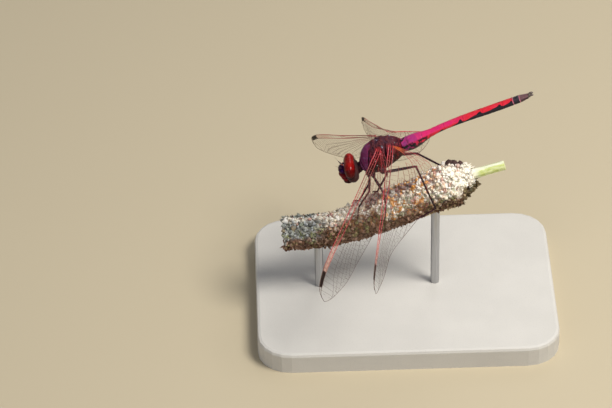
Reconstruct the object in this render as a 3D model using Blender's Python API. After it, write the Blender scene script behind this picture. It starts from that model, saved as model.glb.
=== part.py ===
"""A male violet dropwing dragonfly, life size, perched on a cut length of seed spike above a display stand.

Units are metres and +Z is up. The insect faces -Y, its left side is +X, and the origin is the middle of the
stand's underside. The insect is modelled level in its own frame, whose middle is in the thorax between the
wing bases, and an empty pitches it head down and holds it over the stand.
"""

from math import cos, exp, log, pi, radians, sin, sqrt

import bmesh
import bpy
from mathutils import Matrix, Vector

MM = 0.001
GAP = 0.04 * MM

# Stand
BASE_WIDTH = 40 * MM
BASE_LENGTH = 54 * MM
BASE_THICKNESS = 4 * MM
BASE_CORNER = 6 * MM
BASE_BEVEL = 0.6 * MM
ROD_RADIUS = 0.8 * MM
ROD_SIDES = 12
ROD_PLACES = {"stand_rod_front": -15.5 * MM, "stand_rod_back": 5.5 * MM}
ROD_REACH = 1.5 * MM

# Insect on the stand
INSECT_PLACE = Vector((0, -3 * MM, 34 * MM))
BODY_PITCH = radians(23.2)
INSECT = Matrix.Translation(INSECT_PLACE) @ Matrix.Rotation(BODY_PITCH, 4, "X")

# Perch: its axis runs almost level from the cut front end, then climbs under the insect
PERCH_FRONT = -22 * MM
PERCH_BACK = 12.2 * MM
PERCH_BEND = -12.5 * MM
PERCH_BEND_HEIGHT = 16.35 * MM
PERCH_BEND_SOFTNESS = 1.2 * MM
PERCH_FRONT_SLOPE = 0.055
PERCH_BACK_SLOPE = 0.455
PERCH_RADIUS = ((0, 3.0), (0.3, 2.95), (0.5, 3.5), (0.75, 3.5), (0.9, 3.75), (1, 1.75))
PERCH_RINGS = 33
PERCH_SIDES = 18
KNOB_HEIGHT = 0.25 * MM
STEM_LENGTH = 6 * MM
STEM_RADIUS = 0.85 * MM
STEM_SLOPE = 0.318
STEM_OFFSET = 0.35 * MM

# Thorax: outline from the neck to the waist, as (place along the body, size) in millimetres
THORAX_FRONT = -5.75
THORAX_BACK = 2.8
THORAX_TOP = (
    (-5.75, -0.5),
    (-5.3, 0.35),
    (-4.75, 1.25),
    (-4.1, 1.95),
    (-3.1, 2.5),
    (-1.6, 2.8),
    (0, 2.75),
    (1.6, 2.0),
    (2.8, 0.9),
)
THORAX_BOTTOM = (
    (-5.75, -1.9),
    (-5.3, -2.65),
    (-4.75, -3.1),
    (-4.1, -3.35),
    (-3.1, -3.4),
    (-1.5, -3.15),
    (0.4, -2.5),
    (1.8, -1.95),
    (2.8, -1.5),
)
THORAX_WIDTH = (
    (-5.75, 0.9),
    (-5.3, 1.35),
    (-4.75, 1.75),
    (-4.1, 2.05),
    (-3.1, 2.3),
    (-1, 2.45),
    (0.8, 2.3),
    (1.9, 1.85),
    (2.8, 1.25),
)
THORAX_RINGS = 17
THORAX_SIDES = 24
THORAX_SQUARENESS = 2.5
THORAX_ROOF = 0.24

# Neck
NECK_WIDTH = 0.95
NECK_HEIGHT = 0.95
NECK_LOW = -1.2 * MM

# Head, in its own frame: centre, then half width, half length and half height of each round form
HEAD_PLACE = Vector((0, -7.8, -1.3)) * MM
HEAD_PITCH = radians(-17)
HEAD_BACK = 1.4 * MM
HEAD_FORMS = {
    "capsule": ((0, 0.35, -0.25), (2.3, 1.4, 2.1)),
    "frons": ((0, -1.28, 0.4), (1.25, 0.9, 0.75)),
    "clypeus": ((0, -1.3, -0.5), (1.3, 0.85, 0.6)),
    "labrum": ((0, -1.0, -1.3), (1.1, 0.8, 0.5)),
    "vertex": ((0, -1.0, 1.1), (0.5, 0.55, 0.55)),
}
EYE_PLACE = Vector((0.9, -0.05, 0.86)) * MM
EYE_SIZE = Vector((2.0, 1.08, 1.55)) * MM
LABIUM_PLACE = Vector((0, -0.5, -2.02)) * MM
LABIUM_SIZE = Vector((1.15, 1.0, 0.5)) * MM
ANTENNA_ROOT = Vector((0.75, -1.77, 1.3)) * MM
ANTENNA_TIP = Vector((1.35, -2.6, 2.25)) * MM
ANTENNA_BOW = Vector((0, -0.1, 0.08)) * MM
ANTENNA_RADIUS = 0.26 * MM

# Abdomen, in millimetres: segment lengths, then (distance along it, height of its axis), then (distance along
# it, half width, height over and depth under its axis)
SEGMENTS = (1.1, 2.8, 4.3, 3.6, 3.7, 3.7, 1.95, 1.25, 0.85, 0.65)
ABDOMEN_LINE = ((0, -0.35), (4.2, -0.12), (8, 0.33), (12, 0.4), (17, 0.24), (23.9, 0.1))
ABDOMEN_SIZES = (
    (0, 1.2, 1.2, 1.2),
    (1.5, 1.3, 1.2, 1.4),
    (2.8, 1.25, 1.08, 1.2),
    (4.2, 1.0, 0.85, 0.75),
    (5.5, 0.86, 0.66, 0.52),
    (8, 0.81, 0.52, 0.48),
    (12, 0.88, 0.52, 0.5),
    (14.5, 0.92, 0.55, 0.52),
    (18, 0.95, 0.57, 0.54),
    (21, 0.9, 0.55, 0.53),
    (22.4, 0.85, 0.54, 0.5),
    (23.9, 0.5, 0.38, 0.38),
)
SEGMENT_WAIST = 0.95
CERCUS_LENGTH = 1.05 * MM
CERCUS_RADIUS = 0.26 * MM
CERCUS_SPREAD = 0.24 * MM

# Wings: base, length, forward sweep, droop, then the pitch of the chord at the root and past the middle.
# The leading and trailing edges hold (part of the length, distance behind a straight line from root to tip,
# as part of the length).
WING_THICKNESS = 0.5 * MM
WING_TWIST_END = 0.7
WING_STATIONS = (
    0, 0.02, 0.05, 0.09, 0.15, 0.23, 0.32, 0.42, 0.52, 0.62, 0.72, 0.81, 0.88, 0.93, 0.97, 0.99, 1.0,
)
WING_CHORD_POINTS = 5
FOREWING = {
    "base": Vector((1.95, -1.3, 2.2)) * MM,
    "length": 28.8 * MM,
    "sweep": radians(38.5),
    "droop": radians(19.2),
    "root_pitch": radians(-33.5),
    "tip_pitch": radians(-66),
    "leading": ((0, 0), (0.45, -0.008), (0.8, -0.02), (0.935, 0.004), (0.98, 0.04), (1, 0.08)),
    "trailing": (
        (0, 0.045),
        (0.1, 0.13),
        (0.3, 0.195),
        (0.55, 0.212),
        (0.8, 0.19),
        (0.93, 0.145),
        (0.985, 0.11),
        (1, 0.085),
    ),
}
HINDWING = {
    "base": Vector((1.95, 0.9, 2.0)) * MM,
    "length": 27.4 * MM,
    "sweep": radians(20.8),
    "droop": radians(22.7),
    "root_pitch": radians(-22),
    "tip_pitch": radians(-92),
    "leading": ((0, 0), (0.6, 0), (0.83, -0.007), (0.94, 0.006), (0.98, 0.035), (1, 0.07)),
    "trailing": (
        (0, 0.045),
        (0.04, 0.18),
        (0.1, 0.285),
        (0.25, 0.33),
        (0.45, 0.31),
        (0.65, 0.26),
        (0.85, 0.18),
        (0.95, 0.125),
        (0.99, 0.095),
        (1, 0.075),
    ),
}

# Legs: hip on the thorax as (place along it, angle from its underside), the knee in the insect's frame,
# the ankle and the claw on the perch as (place along its axis, angle from its top), all for one side.
HIP_REACH = 0.45 * MM
FEMUR_RADII = {"front": 0.36, "middle": 0.38, "hind": 0.4}
TIBIA_RADIUS = 0.29
TARSUS_RADIUS = 0.25
DOME_RING = 0.55
DOME_WIDTH = 0.72
DOME_POLE = 0.8
LEGS = {
    "front_left": ((-5.0, 36), (3.0, -5.9, -5.0), (-6.7, 18), (-7.5, 48)),
    "front_right": ((-5.0, 36), (-1.9, -6.35, -6.75), (-6.6, -4), (-7.7, -25)),
    "middle_left": ((-4.2, 44), (3.4, -3.68, -5.9), (-2.3, 45), (-3.25, 74)),
    "middle_right": ((-3.2, 44), (-3.0, -2.95, -6.95), (-3.3, -9), (-4.2, -34)),
    "hind_left": ((-2.3, 58), (4.2, 3.98, -2.65), (4.9, 102), (1.2, 120)),
    "hind_right": ((-2.0, 52), (-3.3, 3.5, -5.35), (8.3, -92), (10.9, -100)),
}


def blend(table, at):
    """The value of a table of (place, value) pairs at a place, on a smooth curve through its points."""
    if at <= table[0][0]:
        return table[0][1]
    if at >= table[-1][0]:
        return table[-1][1]
    last = len(table) - 1
    i = max(k for k in range(last) if table[k][0] <= at)

    def slope(k):
        low, high = table[max(k - 1, 0)], table[min(k + 1, last)]
        return (high[1] - low[1]) / (high[0] - low[0])

    span = table[i + 1][0] - table[i][0]
    t = (at - table[i][0]) / span
    start = table[i][1] * (2 * t**3 - 3 * t**2 + 1) + slope(i) * span * (t**3 - 2 * t**2 + t)
    return start + table[i + 1][1] * (3 * t**2 - 2 * t**3) + slope(i + 1) * span * (t**3 - t**2)


def ease(t):
    t = min(max(t, 0), 1)
    return t * t * (3 - 2 * t)


def signed_power(value, power):
    return (abs(value) ** power) * (1 if value >= 0 else -1)


def make_material(name, colour, roughness, metallic=0.0, alpha=1.0):
    material = bpy.data.materials.new(name)
    material.use_nodes = True
    shader = material.node_tree.nodes["Principled BSDF"]
    shader.inputs["Base Color"].default_value = (*colour, 1)
    shader.inputs["Roughness"].default_value = roughness
    shader.inputs["Metallic"].default_value = metallic
    shader.inputs["Alpha"].default_value = alpha
    material.diffuse_color = (*colour, alpha)
    return material


def make_object(name, bm, material, parent=None):
    """An object from a bmesh: normals outwards, round parts smooth, held by its parent empty."""
    bmesh.ops.remove_doubles(bm, verts=bm.verts, dist=1e-7)
    bmesh.ops.recalc_face_normals(bm, faces=bm.faces)
    mesh = bpy.data.meshes.new(name)
    bm.to_mesh(mesh)
    bm.free()
    mesh.shade_smooth()
    mesh.set_sharp_from_angle(angle=radians(40))
    obj = bpy.data.objects.new(name, mesh)
    obj.data.materials.append(material)
    bpy.context.scene.collection.objects.link(obj)
    obj.parent = parent
    return obj


def add_loft(bm, rings, start=None, end=None):
    """Joins closed rings of points into one solid, with a pole at each end, the ring's middle by default."""
    loops = [[bm.verts.new(point) for point in ring] for ring in rings]
    count = len(loops[0])
    for low, high in zip(loops, loops[1:]):
        for k in range(count):
            bm.faces.new((low[k], low[(k + 1) % count], high[(k + 1) % count], high[k]))
    for loop, ring, pole in ((loops[0], rings[0], start), (loops[-1], rings[-1], end)):
        middle = bm.verts.new(pole if pole else sum(ring, Vector()) / count)
        for k in range(count):
            bm.faces.new((loop[k], loop[(k + 1) % count], middle))


def ring_at(centre, across, up, half_width, half_top, half_bottom, sides, squareness=2.0, roof=0.0):
    """A closed ring: an ellipse or a squarer round form, with its own top and bottom heights."""
    points = []
    for k in range(sides):
        angle = 2 * pi * (k + 0.5) / sides
        x = signed_power(sin(angle), 2 / squareness)
        z = signed_power(cos(angle), 2 / squareness)
        x *= 1 - roof * max(z, 0)
        points.append(centre + across * (x * half_width) + up * (z * (half_top if z > 0 else half_bottom)))
    return points


def limb(name, points, radii, material, parent, sides=8):
    """A round limb through its points with a radius at each, and a dome at both ends.

    A dome is one narrower ring and a pole, placed by DOME_RING, DOME_WIDTH and DOME_POLE of the end's radius.
    """
    bm = bmesh.new()
    rings = []
    for i, point in enumerate(points):
        along = (points[min(i + 1, len(points) - 1)] - points[max(i - 1, 0)]).normalized()
        side = along.cross(Vector((0.31, 0.17, 0.93))).normalized()
        up = side.cross(along)
        if i == 0:
            width = [radii[0] * DOME_WIDTH] * 3
            rings.append(ring_at(point - along * radii[0] * DOME_RING, side, up, *width, sides))
        rings.append(ring_at(point, side, up, *([radii[i]] * 3), sides))
        if i == len(points) - 1:
            width = [radii[i] * DOME_WIDTH] * 3
            rings.append(ring_at(point + along * radii[i] * DOME_RING, side, up, *width, sides))
    first = (points[1] - points[0]).normalized() * radii[0]
    last = (points[-1] - points[-2]).normalized() * radii[-1]
    add_loft(bm, rings, points[0] - first * DOME_POLE, points[-1] + last * DOME_POLE)
    return make_object(name, bm, material, parent)


def cut(obj, cutter, solver="EXACT"):
    cutter.hide_render = True
    cutter.display_type = "WIRE"
    modifier = obj.modifiers.new(f"Cut by {cutter.name}", "BOOLEAN")
    modifier.object = cutter
    modifier.solver = solver


# Perch and stand


def perch_height(y):
    """Height of the perch's axis above the floor: two slopes with a soft bend between them."""
    past = (y - PERCH_BEND) / PERCH_BEND_SOFTNESS
    bend = PERCH_BEND_SOFTNESS * log(1 + exp(past))
    slope_change = PERCH_BACK_SLOPE - PERCH_FRONT_SLOPE
    return PERCH_BEND_HEIGHT + PERCH_FRONT_SLOPE * (y - PERCH_BEND) + slope_change * bend


def perch_frame(y):
    """The axis point at y, the direction along the perch, and the direction square to it and up."""
    step = 0.01 * MM
    along = Vector((0, 2 * step, perch_height(y + step) - perch_height(y - step))).normalized()
    return Vector((0, y, perch_height(y))), along, Vector((0, -along.z, along.y))


def perch_radius(y):
    return blend(PERCH_RADIUS, (y - PERCH_FRONT) / (PERCH_BACK - PERCH_FRONT)) * MM


def on_perch(y, angle, lift):
    """A point over the perch's skin: angle is from its top to the insect's left, lift is above the knobs."""
    centre, _, up = perch_frame(y)
    out = Vector((sin(angle), 0, 0)) + up * cos(angle)
    return centre + out * (perch_radius(y) + KNOB_HEIGHT + lift)


def perch_solid(name, knob, growth, material):
    """The spike: rings along its axis whose points stand out and sink in turn, as its seed capsules do."""
    bm = bmesh.new()
    rings = []
    for i in range(PERCH_RINGS):
        y = PERCH_FRONT + (PERCH_BACK - PERCH_FRONT) * i / (PERCH_RINGS - 1)
        centre, _, up = perch_frame(y)
        ring = []
        for k in range(PERCH_SIDES):
            angle = 2 * pi * k / PERCH_SIDES
            stand_out = knob if (i + k) % 2 else -knob
            out = Vector((sin(angle), 0, 0)) + up * cos(angle)
            ring.append(centre + out * (perch_radius(y) + stand_out + growth))
        rings.append(ring)
    add_loft(bm, rings)
    return make_object(name, bm, material)


def build_perch(spike_material, stem_material):
    perch_solid("perch_spike", KNOB_HEIGHT, 0, spike_material)
    end, along, up = perch_frame(PERCH_BACK)
    start = end + along * GAP + up * STEM_OFFSET
    run = Vector((0, 1, STEM_SLOPE)).normalized()
    bm = bmesh.new()
    rings = []
    for part in (0, 0.33, 0.66, 1):
        radius = STEM_RADIUS * (1.1 - 0.1 * ease(part * 2))
        # The first ring lies flat on the spike's end, the others square to the stem
        over = up.lerp(Vector((0, -run.z, run.y)), min(part * 4, 1)).normalized()
        centre = start + run * STEM_LENGTH * part
        rings.append(ring_at(centre, Vector((1, 0, 0)), over, radius, radius, radius, 12))
    add_loft(bm, rings)
    make_object("perch_stem", bm, stem_material)


def build_stand(base_material, rod_material):
    bm = bmesh.new()
    bmesh.ops.create_cube(bm, size=1)
    bmesh.ops.scale(bm, vec=(BASE_WIDTH, BASE_LENGTH, BASE_THICKNESS), verts=bm.verts)
    bmesh.ops.translate(bm, vec=(0, 0, BASE_THICKNESS / 2), verts=bm.verts)
    upright = [e for e in bm.edges if abs(e.verts[0].co.z - e.verts[1].co.z) > BASE_THICKNESS / 2]
    bmesh.ops.bevel(bm, geom=upright, offset=BASE_CORNER, segments=5, affect="EDGES", profile=0.5)
    rim = [e for e in bm.edges if all(v.co.z > BASE_THICKNESS * 0.9 for v in e.verts)]
    bmesh.ops.bevel(bm, geom=rim, offset=BASE_BEVEL, segments=2, affect="EDGES", profile=0.5)
    make_object("stand_base", bm, base_material)

    clearance = perch_solid("perch_clearance", 0, KNOB_HEIGHT + GAP, rod_material)
    for name, y in ROD_PLACES.items():
        bottom = BASE_THICKNESS + GAP
        top = perch_height(y) - perch_radius(y) + ROD_REACH
        ends = [Vector((0, y, z)) for z in (bottom, top)]
        size = [ROD_RADIUS] * 3
        bm = bmesh.new()
        add_loft(bm, [ring_at(end, Vector((1, 0, 0)), Vector((0, 1, 0)), *size, ROD_SIDES) for end in ends])
        cut(make_object(name, bm, rod_material), clearance)


# Head


def head_surface(direction):
    """The furthest of the head's round forms along a direction from the head's middle, flat at the back."""
    reach = 0
    for centre, size in HEAD_FORMS.values():
        size = Vector(size) * MM
        start = Vector([-c * MM / s for c, s in zip(centre, size)])
        line = Vector([d / s for d, s in zip(direction, size)])
        a, b, c = line.dot(line), start.dot(line), start.dot(start) - 1
        if b * b - a * c > 0:
            reach = max(reach, (-b + sqrt(b * b - a * c)) / a)
    if direction.y * reach > HEAD_BACK:
        reach = HEAD_BACK / direction.y
    return direction * reach


def ellipsoid(name, matrix, size, material, parent, segments=18, rings=12):
    bm = bmesh.new()
    bmesh.ops.create_uvsphere(bm, u_segments=segments, v_segments=rings, radius=1)
    bmesh.ops.scale(bm, vec=size, verts=bm.verts)
    bmesh.ops.transform(bm, matrix=matrix, verts=bm.verts)
    return make_object(name, bm, material, parent)


def build_head(insect, skins):
    head = Matrix.Translation(HEAD_PLACE) @ Matrix.Rotation(HEAD_PITCH, 4, "X")
    bm = bmesh.new()
    bmesh.ops.create_uvsphere(bm, u_segments=26, v_segments=18, radius=1)
    for vert in bm.verts:
        vert.co = head @ head_surface(vert.co.normalized())
    capsule = make_object("head", bm, skins["head"], insect)

    grown = Vector((1, 1, 1)) * GAP
    for side, word in ((1, "left"), (-1, "right")):
        place = Vector((EYE_PLACE.x * side, EYE_PLACE.y, EYE_PLACE.z))
        lens = head @ Matrix.Translation(place)
        eye = ellipsoid(f"eye_{word}", lens, EYE_SIZE, skins["eye"], insect)
        halving = bmesh.new()
        bmesh.ops.create_cube(halving, size=8 * MM)
        bmesh.ops.translate(halving, vec=(-side * (4 * MM - GAP / 2), 0, 0), verts=halving.verts)
        bmesh.ops.transform(halving, matrix=head, verts=halving.verts)
        cut(eye, make_object(f"eye_{word}_halving", halving, skins["eye"], insect))
        socket = ellipsoid(f"eye_{word}_socket", lens, EYE_SIZE + grown, skins["eye"], insect)
        # Where three round sockets meet, the exact solver can leave an open edge
        cut(capsule, socket, solver="MANIFOLD")
        root, tip = ANTENNA_ROOT.copy(), ANTENNA_TIP.copy()
        root.x *= side
        tip.x *= side
        points = [head @ p for p in (root, (root + tip) / 2 + ANTENNA_BOW, tip)]
        radii = (ANTENNA_RADIUS * 1.1, ANTENNA_RADIUS, ANTENNA_RADIUS * 0.96)
        limb(f"antenna_{word}", points, radii, skins["limb"], insect, sides=6)

    under = head @ Matrix.Translation(LABIUM_PLACE)
    ellipsoid("labium", under, LABIUM_SIZE, skins["head"], insect, segments=14, rings=8)
    socket = ellipsoid("labium_socket", under, LABIUM_SIZE + grown, skins["head"], insect, 14, 8)
    cut(capsule, socket, solver="MANIFOLD")

    back = head @ Vector((0, HEAD_BACK + GAP, -0.1 * MM))
    front = Vector((0, THORAX_FRONT * MM - GAP, NECK_LOW))
    bm = bmesh.new()
    rings = []
    for part, swell in ((0, 0.85), (0.35, 1.05), (0.7, 1.08), (1, 0.95)):
        tilt = Matrix.Rotation(HEAD_PITCH * (1 - part), 3, "X")
        centre = back.lerp(front, part)
        width, height = NECK_WIDTH * MM * swell, NECK_HEIGHT * MM * swell
        rings.append(ring_at(centre, Vector((1, 0, 0)), tilt @ Vector((0, 0, 1)), width, height, height, 14))
    add_loft(bm, rings)
    make_object("neck", bm, skins["thorax"], insect)


# Thorax and abdomen


def thorax_ring(y):
    top, bottom = blend(THORAX_TOP, y) * MM, blend(THORAX_BOTTOM, y) * MM
    half = (top - bottom) / 2
    width = blend(THORAX_WIDTH, y) * MM
    centre = Vector((0, y * MM, (top + bottom) / 2))
    across, up = Vector((1, 0, 0)), Vector((0, 0, 1))
    return ring_at(centre, across, up, width, half, half, THORAX_SIDES, THORAX_SQUARENESS, THORAX_ROOF)


def on_thorax(y, angle, lift):
    """A point over the thorax's underside: angle is from straight down towards one side."""
    top, bottom = blend(THORAX_TOP, y) * MM, blend(THORAX_BOTTOM, y) * MM
    half = (top - bottom) / 2
    x = signed_power(sin(angle), 2 / THORAX_SQUARENESS) * (blend(THORAX_WIDTH, y) * MM + lift)
    z = -signed_power(cos(angle), 2 / THORAX_SQUARENESS) * (half + lift)
    return Vector((x, y * MM, (top + bottom) / 2 + z))


def build_thorax(insect, material):
    bm = bmesh.new()
    step = (THORAX_BACK - THORAX_FRONT) / (THORAX_RINGS - 1)
    add_loft(bm, [thorax_ring(THORAX_FRONT + step * i) for i in range(THORAX_RINGS)])
    return make_object("thorax", bm, material, insect)


def abdomen_axis(along):
    """The abdomen's middle line at a distance from its start: almost straight, with a slight arch."""
    return Vector((0, THORAX_BACK * MM + along, blend(ABDOMEN_LINE, along / MM) * MM))


def abdomen_ring(along, swell, sides=14):
    step = 0.01 * MM
    forward = (abdomen_axis(along + step) - abdomen_axis(along - step)).normalized()
    up = Vector((0, -forward.z, forward.y))
    sizes = []
    for column in (1, 2, 3):
        table = [(row[0], row[column]) for row in ABDOMEN_SIZES]
        sizes.append(blend(table, along / MM) * MM * swell)
    return ring_at(abdomen_axis(along), Vector((1, 0, 0)), up, *sizes, sides, 2.2)


def build_abdomen(insect, skins):
    start = 0
    for number, length in enumerate(SEGMENTS, 1):
        low, high = start + GAP, start + length * MM
        bm = bmesh.new()
        rings = []
        for part, swell in ((0, SEGMENT_WAIST), (0.12, 1), (0.5, 1.02), (0.88, 1), (1, SEGMENT_WAIST)):
            rings.append(abdomen_ring(low + (high - low) * part, swell))
        add_loft(bm, rings)
        skin = skins["abdomen_tip"] if number > 7 else skins["abdomen"]
        make_object(f"abdomen_segment_{number:02d}", bm, skin, insect)
        start = high
    for side, word in ((1, "left"), (-1, "right")):
        root = abdomen_axis(start) + Vector((side * CERCUS_SPREAD * 1.15, GAP + CERCUS_RADIUS, 0.06 * MM))
        tip = root + Vector((side * CERCUS_SPREAD * 0.35, CERCUS_LENGTH - CERCUS_RADIUS, 0.05 * MM))
        points = [root, root.lerp(tip, 0.5) + Vector((0, 0, 0.04 * MM)), tip]
        radii = [CERCUS_RADIUS * 0.9, CERCUS_RADIUS, CERCUS_RADIUS * 0.8]
        limb(f"cercus_{word}", points, radii, skins["abdomen_tip"], insect, sides=7)


# Wings


def wing_point(wing, side, along, across):
    """A point of the wing's middle sheet, and the directions along its span and its chord there."""
    sweep, droop = wing["sweep"], wing["droop"]
    span = Vector((side * cos(droop) * cos(sweep), -cos(droop) * sin(sweep), -sin(droop)))
    back = Vector((0, 1, 0))
    back = (back - span * back.dot(span)).normalized()
    up = span.cross(back) * side
    pitch = wing["root_pitch"] + (wing["tip_pitch"] - wing["root_pitch"]) * ease(along / WING_TWIST_END)
    chord = back * cos(pitch) + up * sin(pitch)
    base = Vector((wing["base"].x * side, wing["base"].y, wing["base"].z))
    leading = blend(wing["leading"], along)
    depth = leading + (blend(wing["trailing"], along) - leading) * across
    return base + (span * along + chord * depth) * wing["length"], span, chord


def build_wing(name, wing, side, material, insect):
    bm = bmesh.new()
    rows = []
    for along in WING_STATIONS:
        above, below = [], []
        for k in range(WING_CHORD_POINTS):
            point, span, chord = wing_point(wing, side, along, k / (WING_CHORD_POINTS - 1))
            normal = span.cross(chord).normalized() * (WING_THICKNESS / 2)
            above.append(point + normal)
            below.append(point - normal)
        rows.append(above + below[::-1])
    add_loft(bm, rows)
    make_object(name, bm, material, insect)


# Legs


def joint_start(end, joint, beyond, radius):
    """Where a limb of this radius starts past a joint, so that its dome just clears the dome before it."""
    away = (beyond - joint).normalized()
    centre = joint
    while (centre - end).length < 2 * radius + GAP:
        centre = centre + away * GAP / 2
    return centre


def build_legs(insect, material):
    to_insect = INSECT.inverted()
    for name, (hip_place, knee, ankle_place, claw_place) in LEGS.items():
        row, word = name.split("_")
        side = 1 if word == "left" else -1
        thick = FEMUR_RADII[row] * MM
        thin, fine = TIBIA_RADIUS * MM, TARSUS_RADIUS * MM
        knee = Vector(knee) * MM

        hip = on_thorax(hip_place[0], radians(hip_place[1]) * side, thick + GAP * 2)
        out = on_thorax(hip_place[0], radians(hip_place[1]) * side, thick + HIP_REACH)
        femur = [hip, out.lerp(knee, 0.06), out.lerp(knee, 0.4), out.lerp(knee, 0.75)]
        femur.append(knee - (knee - out).normalized() * thin)
        limb(f"leg_{name}_femur", femur, [thick, thick * 0.85, thick, thick * 0.9, thin], material, insect)

        ankle = to_insect @ on_perch(ankle_place[0] * MM, radians(ankle_place[1]), fine + GAP * 2)
        start = joint_start(femur[-1], knee, ankle, thin)
        tibia_end = ankle - (ankle - start).normalized() * fine * 0.6
        tibia = [start, start.lerp(tibia_end, 0.35), start.lerp(tibia_end, 0.7), tibia_end]
        limb(f"leg_{name}_tibia", tibia, [thin, thin * 0.95, thin * 0.9, fine], material, insect)

        toe = []
        for part in (0, 0.3, 0.65, 1):
            y = ankle_place[0] + (claw_place[0] - ankle_place[0]) * part
            angle = ankle_place[1] + (claw_place[1] - ankle_place[1]) * part
            toe.append(to_insect @ on_perch(y * MM, radians(angle), fine + GAP * 2))
        toe[0] = joint_start(tibia_end, toe[0], toe[1], fine)
        limb(f"leg_{name}_tarsus", toe, [fine, fine, fine, fine * 0.98], material, insect, sides=7)


def clear_scene():
    for obj in list(bpy.data.objects):
        bpy.data.objects.remove(obj, do_unlink=True)


def main():
    clear_scene()
    insect = bpy.data.objects.new("insect", None)
    insect.matrix_world = INSECT
    bpy.context.scene.collection.objects.link(insect)
    skins = {
        "head": make_material("head_dark_red", (0.14, 0.02, 0.035), 0.4),
        "eye": make_material("eye_red", (0.3, 0.004, 0.006), 0.12),
        "thorax": make_material("thorax_violet", (0.1, 0.03, 0.09), 0.55),
        "abdomen": make_material("abdomen_magenta", (0.55, 0.03, 0.13), 0.45),
        "abdomen_tip": make_material("abdomen_black", (0.02, 0.012, 0.015), 0.45),
        "limb": make_material("leg_black", (0.03, 0.014, 0.02), 0.4),
    }
    membrane = make_material("wing_membrane", (0.8, 0.68, 0.5), 0.2, alpha=0.35)
    spike = make_material("seed_spike", (0.45, 0.34, 0.24), 0.9)
    stem = make_material("green_stem", (0.3, 0.42, 0.08), 0.6)
    build_perch(spike, stem)
    build_stand(
        make_material("base_pale_matte", (0.62, 0.6, 0.56), 0.6),
        make_material("rod_steel", (0.6, 0.6, 0.6), 0.3, metallic=1.0),
    )
    build_thorax(insect, skins["thorax"])
    build_head(insect, skins)
    build_abdomen(insect, skins)
    for side, word in ((1, "left"), (-1, "right")):
        build_wing(f"forewing_{word}", FOREWING, side, membrane, insect)
        build_wing(f"hindwing_{word}", HINDWING, side, membrane, insect)
    build_legs(insect, skins["limb"])


main()
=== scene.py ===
"""Dresses the perched dropwing dragonfly: skins, eyes, veined wings, bristled legs, seed spike and stage.

Lengths are metres in the row frame. The insect's parts are shaped level in the insect's own frame, with its
head to -Y, and INSECT pitches them head down over the stand.
"""

import random
from math import acos, atan2, cos, exp, log, pi, radians, sin, sqrt

import bpy
from bpy.props import FloatProperty, FloatVectorProperty, IntProperty, PointerProperty
from mathutils import Euler, Matrix, Vector, noise


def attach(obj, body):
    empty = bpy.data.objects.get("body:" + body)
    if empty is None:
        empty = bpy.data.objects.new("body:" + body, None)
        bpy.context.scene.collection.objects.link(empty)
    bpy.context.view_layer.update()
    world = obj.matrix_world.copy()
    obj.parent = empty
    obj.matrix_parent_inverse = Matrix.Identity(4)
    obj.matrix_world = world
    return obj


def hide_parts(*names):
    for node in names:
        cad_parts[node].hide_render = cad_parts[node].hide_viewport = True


bl_info = {
    "name": "Perched dropwing",
    "version": (1, 0, 0),
    "blender": (4, 5, 0),
    "location": "3D View > Sidebar > Dropwing",
    "description": "Dresses the solids of a perched dragonfly as a life-size display model",
    "category": "Object",
}

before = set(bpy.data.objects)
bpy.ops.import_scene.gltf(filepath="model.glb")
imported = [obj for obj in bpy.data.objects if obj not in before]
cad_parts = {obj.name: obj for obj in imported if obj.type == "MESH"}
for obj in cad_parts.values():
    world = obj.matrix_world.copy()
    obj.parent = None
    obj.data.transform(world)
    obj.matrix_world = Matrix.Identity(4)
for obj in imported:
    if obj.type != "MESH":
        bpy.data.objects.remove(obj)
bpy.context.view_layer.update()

MM = 0.001
UP = Vector((0, 0, 1))
INSECT = Matrix.Translation(Vector((0, -3, 34)) * MM) @ Matrix.Rotation(radians(23.2), 4, "X")
# The insect's two sides, as the sign of X and the word in their names
SIDES = ((1, "left"), (-1, "right"))

# Outlines shared with the solids, as (place, size) pairs in millimetres
THORAX_FRONT = -5.75
THORAX_BACK = 2.8
THORAX_TOP = (
    (-5.75, -0.5), (-5.3, 0.35), (-4.75, 1.25), (-4.1, 1.95), (-3.1, 2.5), (-1.6, 2.8), (0, 2.75), (1.6, 2.0),
    (2.8, 0.9),
)
THORAX_BOTTOM = (
    (-5.75, -1.9), (-5.3, -2.65), (-4.75, -3.1), (-4.1, -3.35), (-3.1, -3.4), (-1.5, -3.15), (0.4, -2.5),
    (1.8, -1.95), (2.8, -1.5),
)
THORAX_WIDTH = (
    (-5.75, 0.9), (-5.3, 1.35), (-4.75, 1.75), (-4.1, 2.05), (-3.1, 2.3), (-1, 2.45), (0.8, 2.3), (1.9, 1.85),
    (2.8, 1.25),
)
THORAX_SQUARENESS = 2.5
THORAX_ROOF = 0.24
# Where the wings meet the thorax: its places along the body, and how far to the side and up
WING_ROOTS = (-1.3, 0.9)
WING_ROOT_SIDE = 1.9
WING_ROOT_HEIGHT = 2.0

HEAD = INSECT @ Matrix.Translation(Vector((0, -7.8, -1.3)) * MM) @ Matrix.Rotation(radians(-17), 4, "X")
HEAD_BACK = 1.4
HEAD_FORMS = {
    "capsule": ((0, 0.35, -0.25), (2.3, 1.4, 2.1)),
    "frons": ((0, -1.28, 0.4), (1.25, 0.9, 0.75)),
    "clypeus": ((0, -1.3, -0.5), (1.3, 0.85, 0.6)),
    "labrum": ((0, -1.0, -1.3), (1.1, 0.8, 0.5)),
    "vertex": ((0, -1.0, 1.1), (0.5, 0.55, 0.55)),
    "labium": ((0, -0.5, -2.02), (1.15, 1.0, 0.5)),
}
HEAD_SOFTNESS = 0.035
HEAD_CREASE = 0.1
EYE_PLACE = (0.9, -0.05, 0.86)
EYE_SIZE = (2.0, 1.08, 1.55)
EYE_GAP = 0.015

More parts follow.
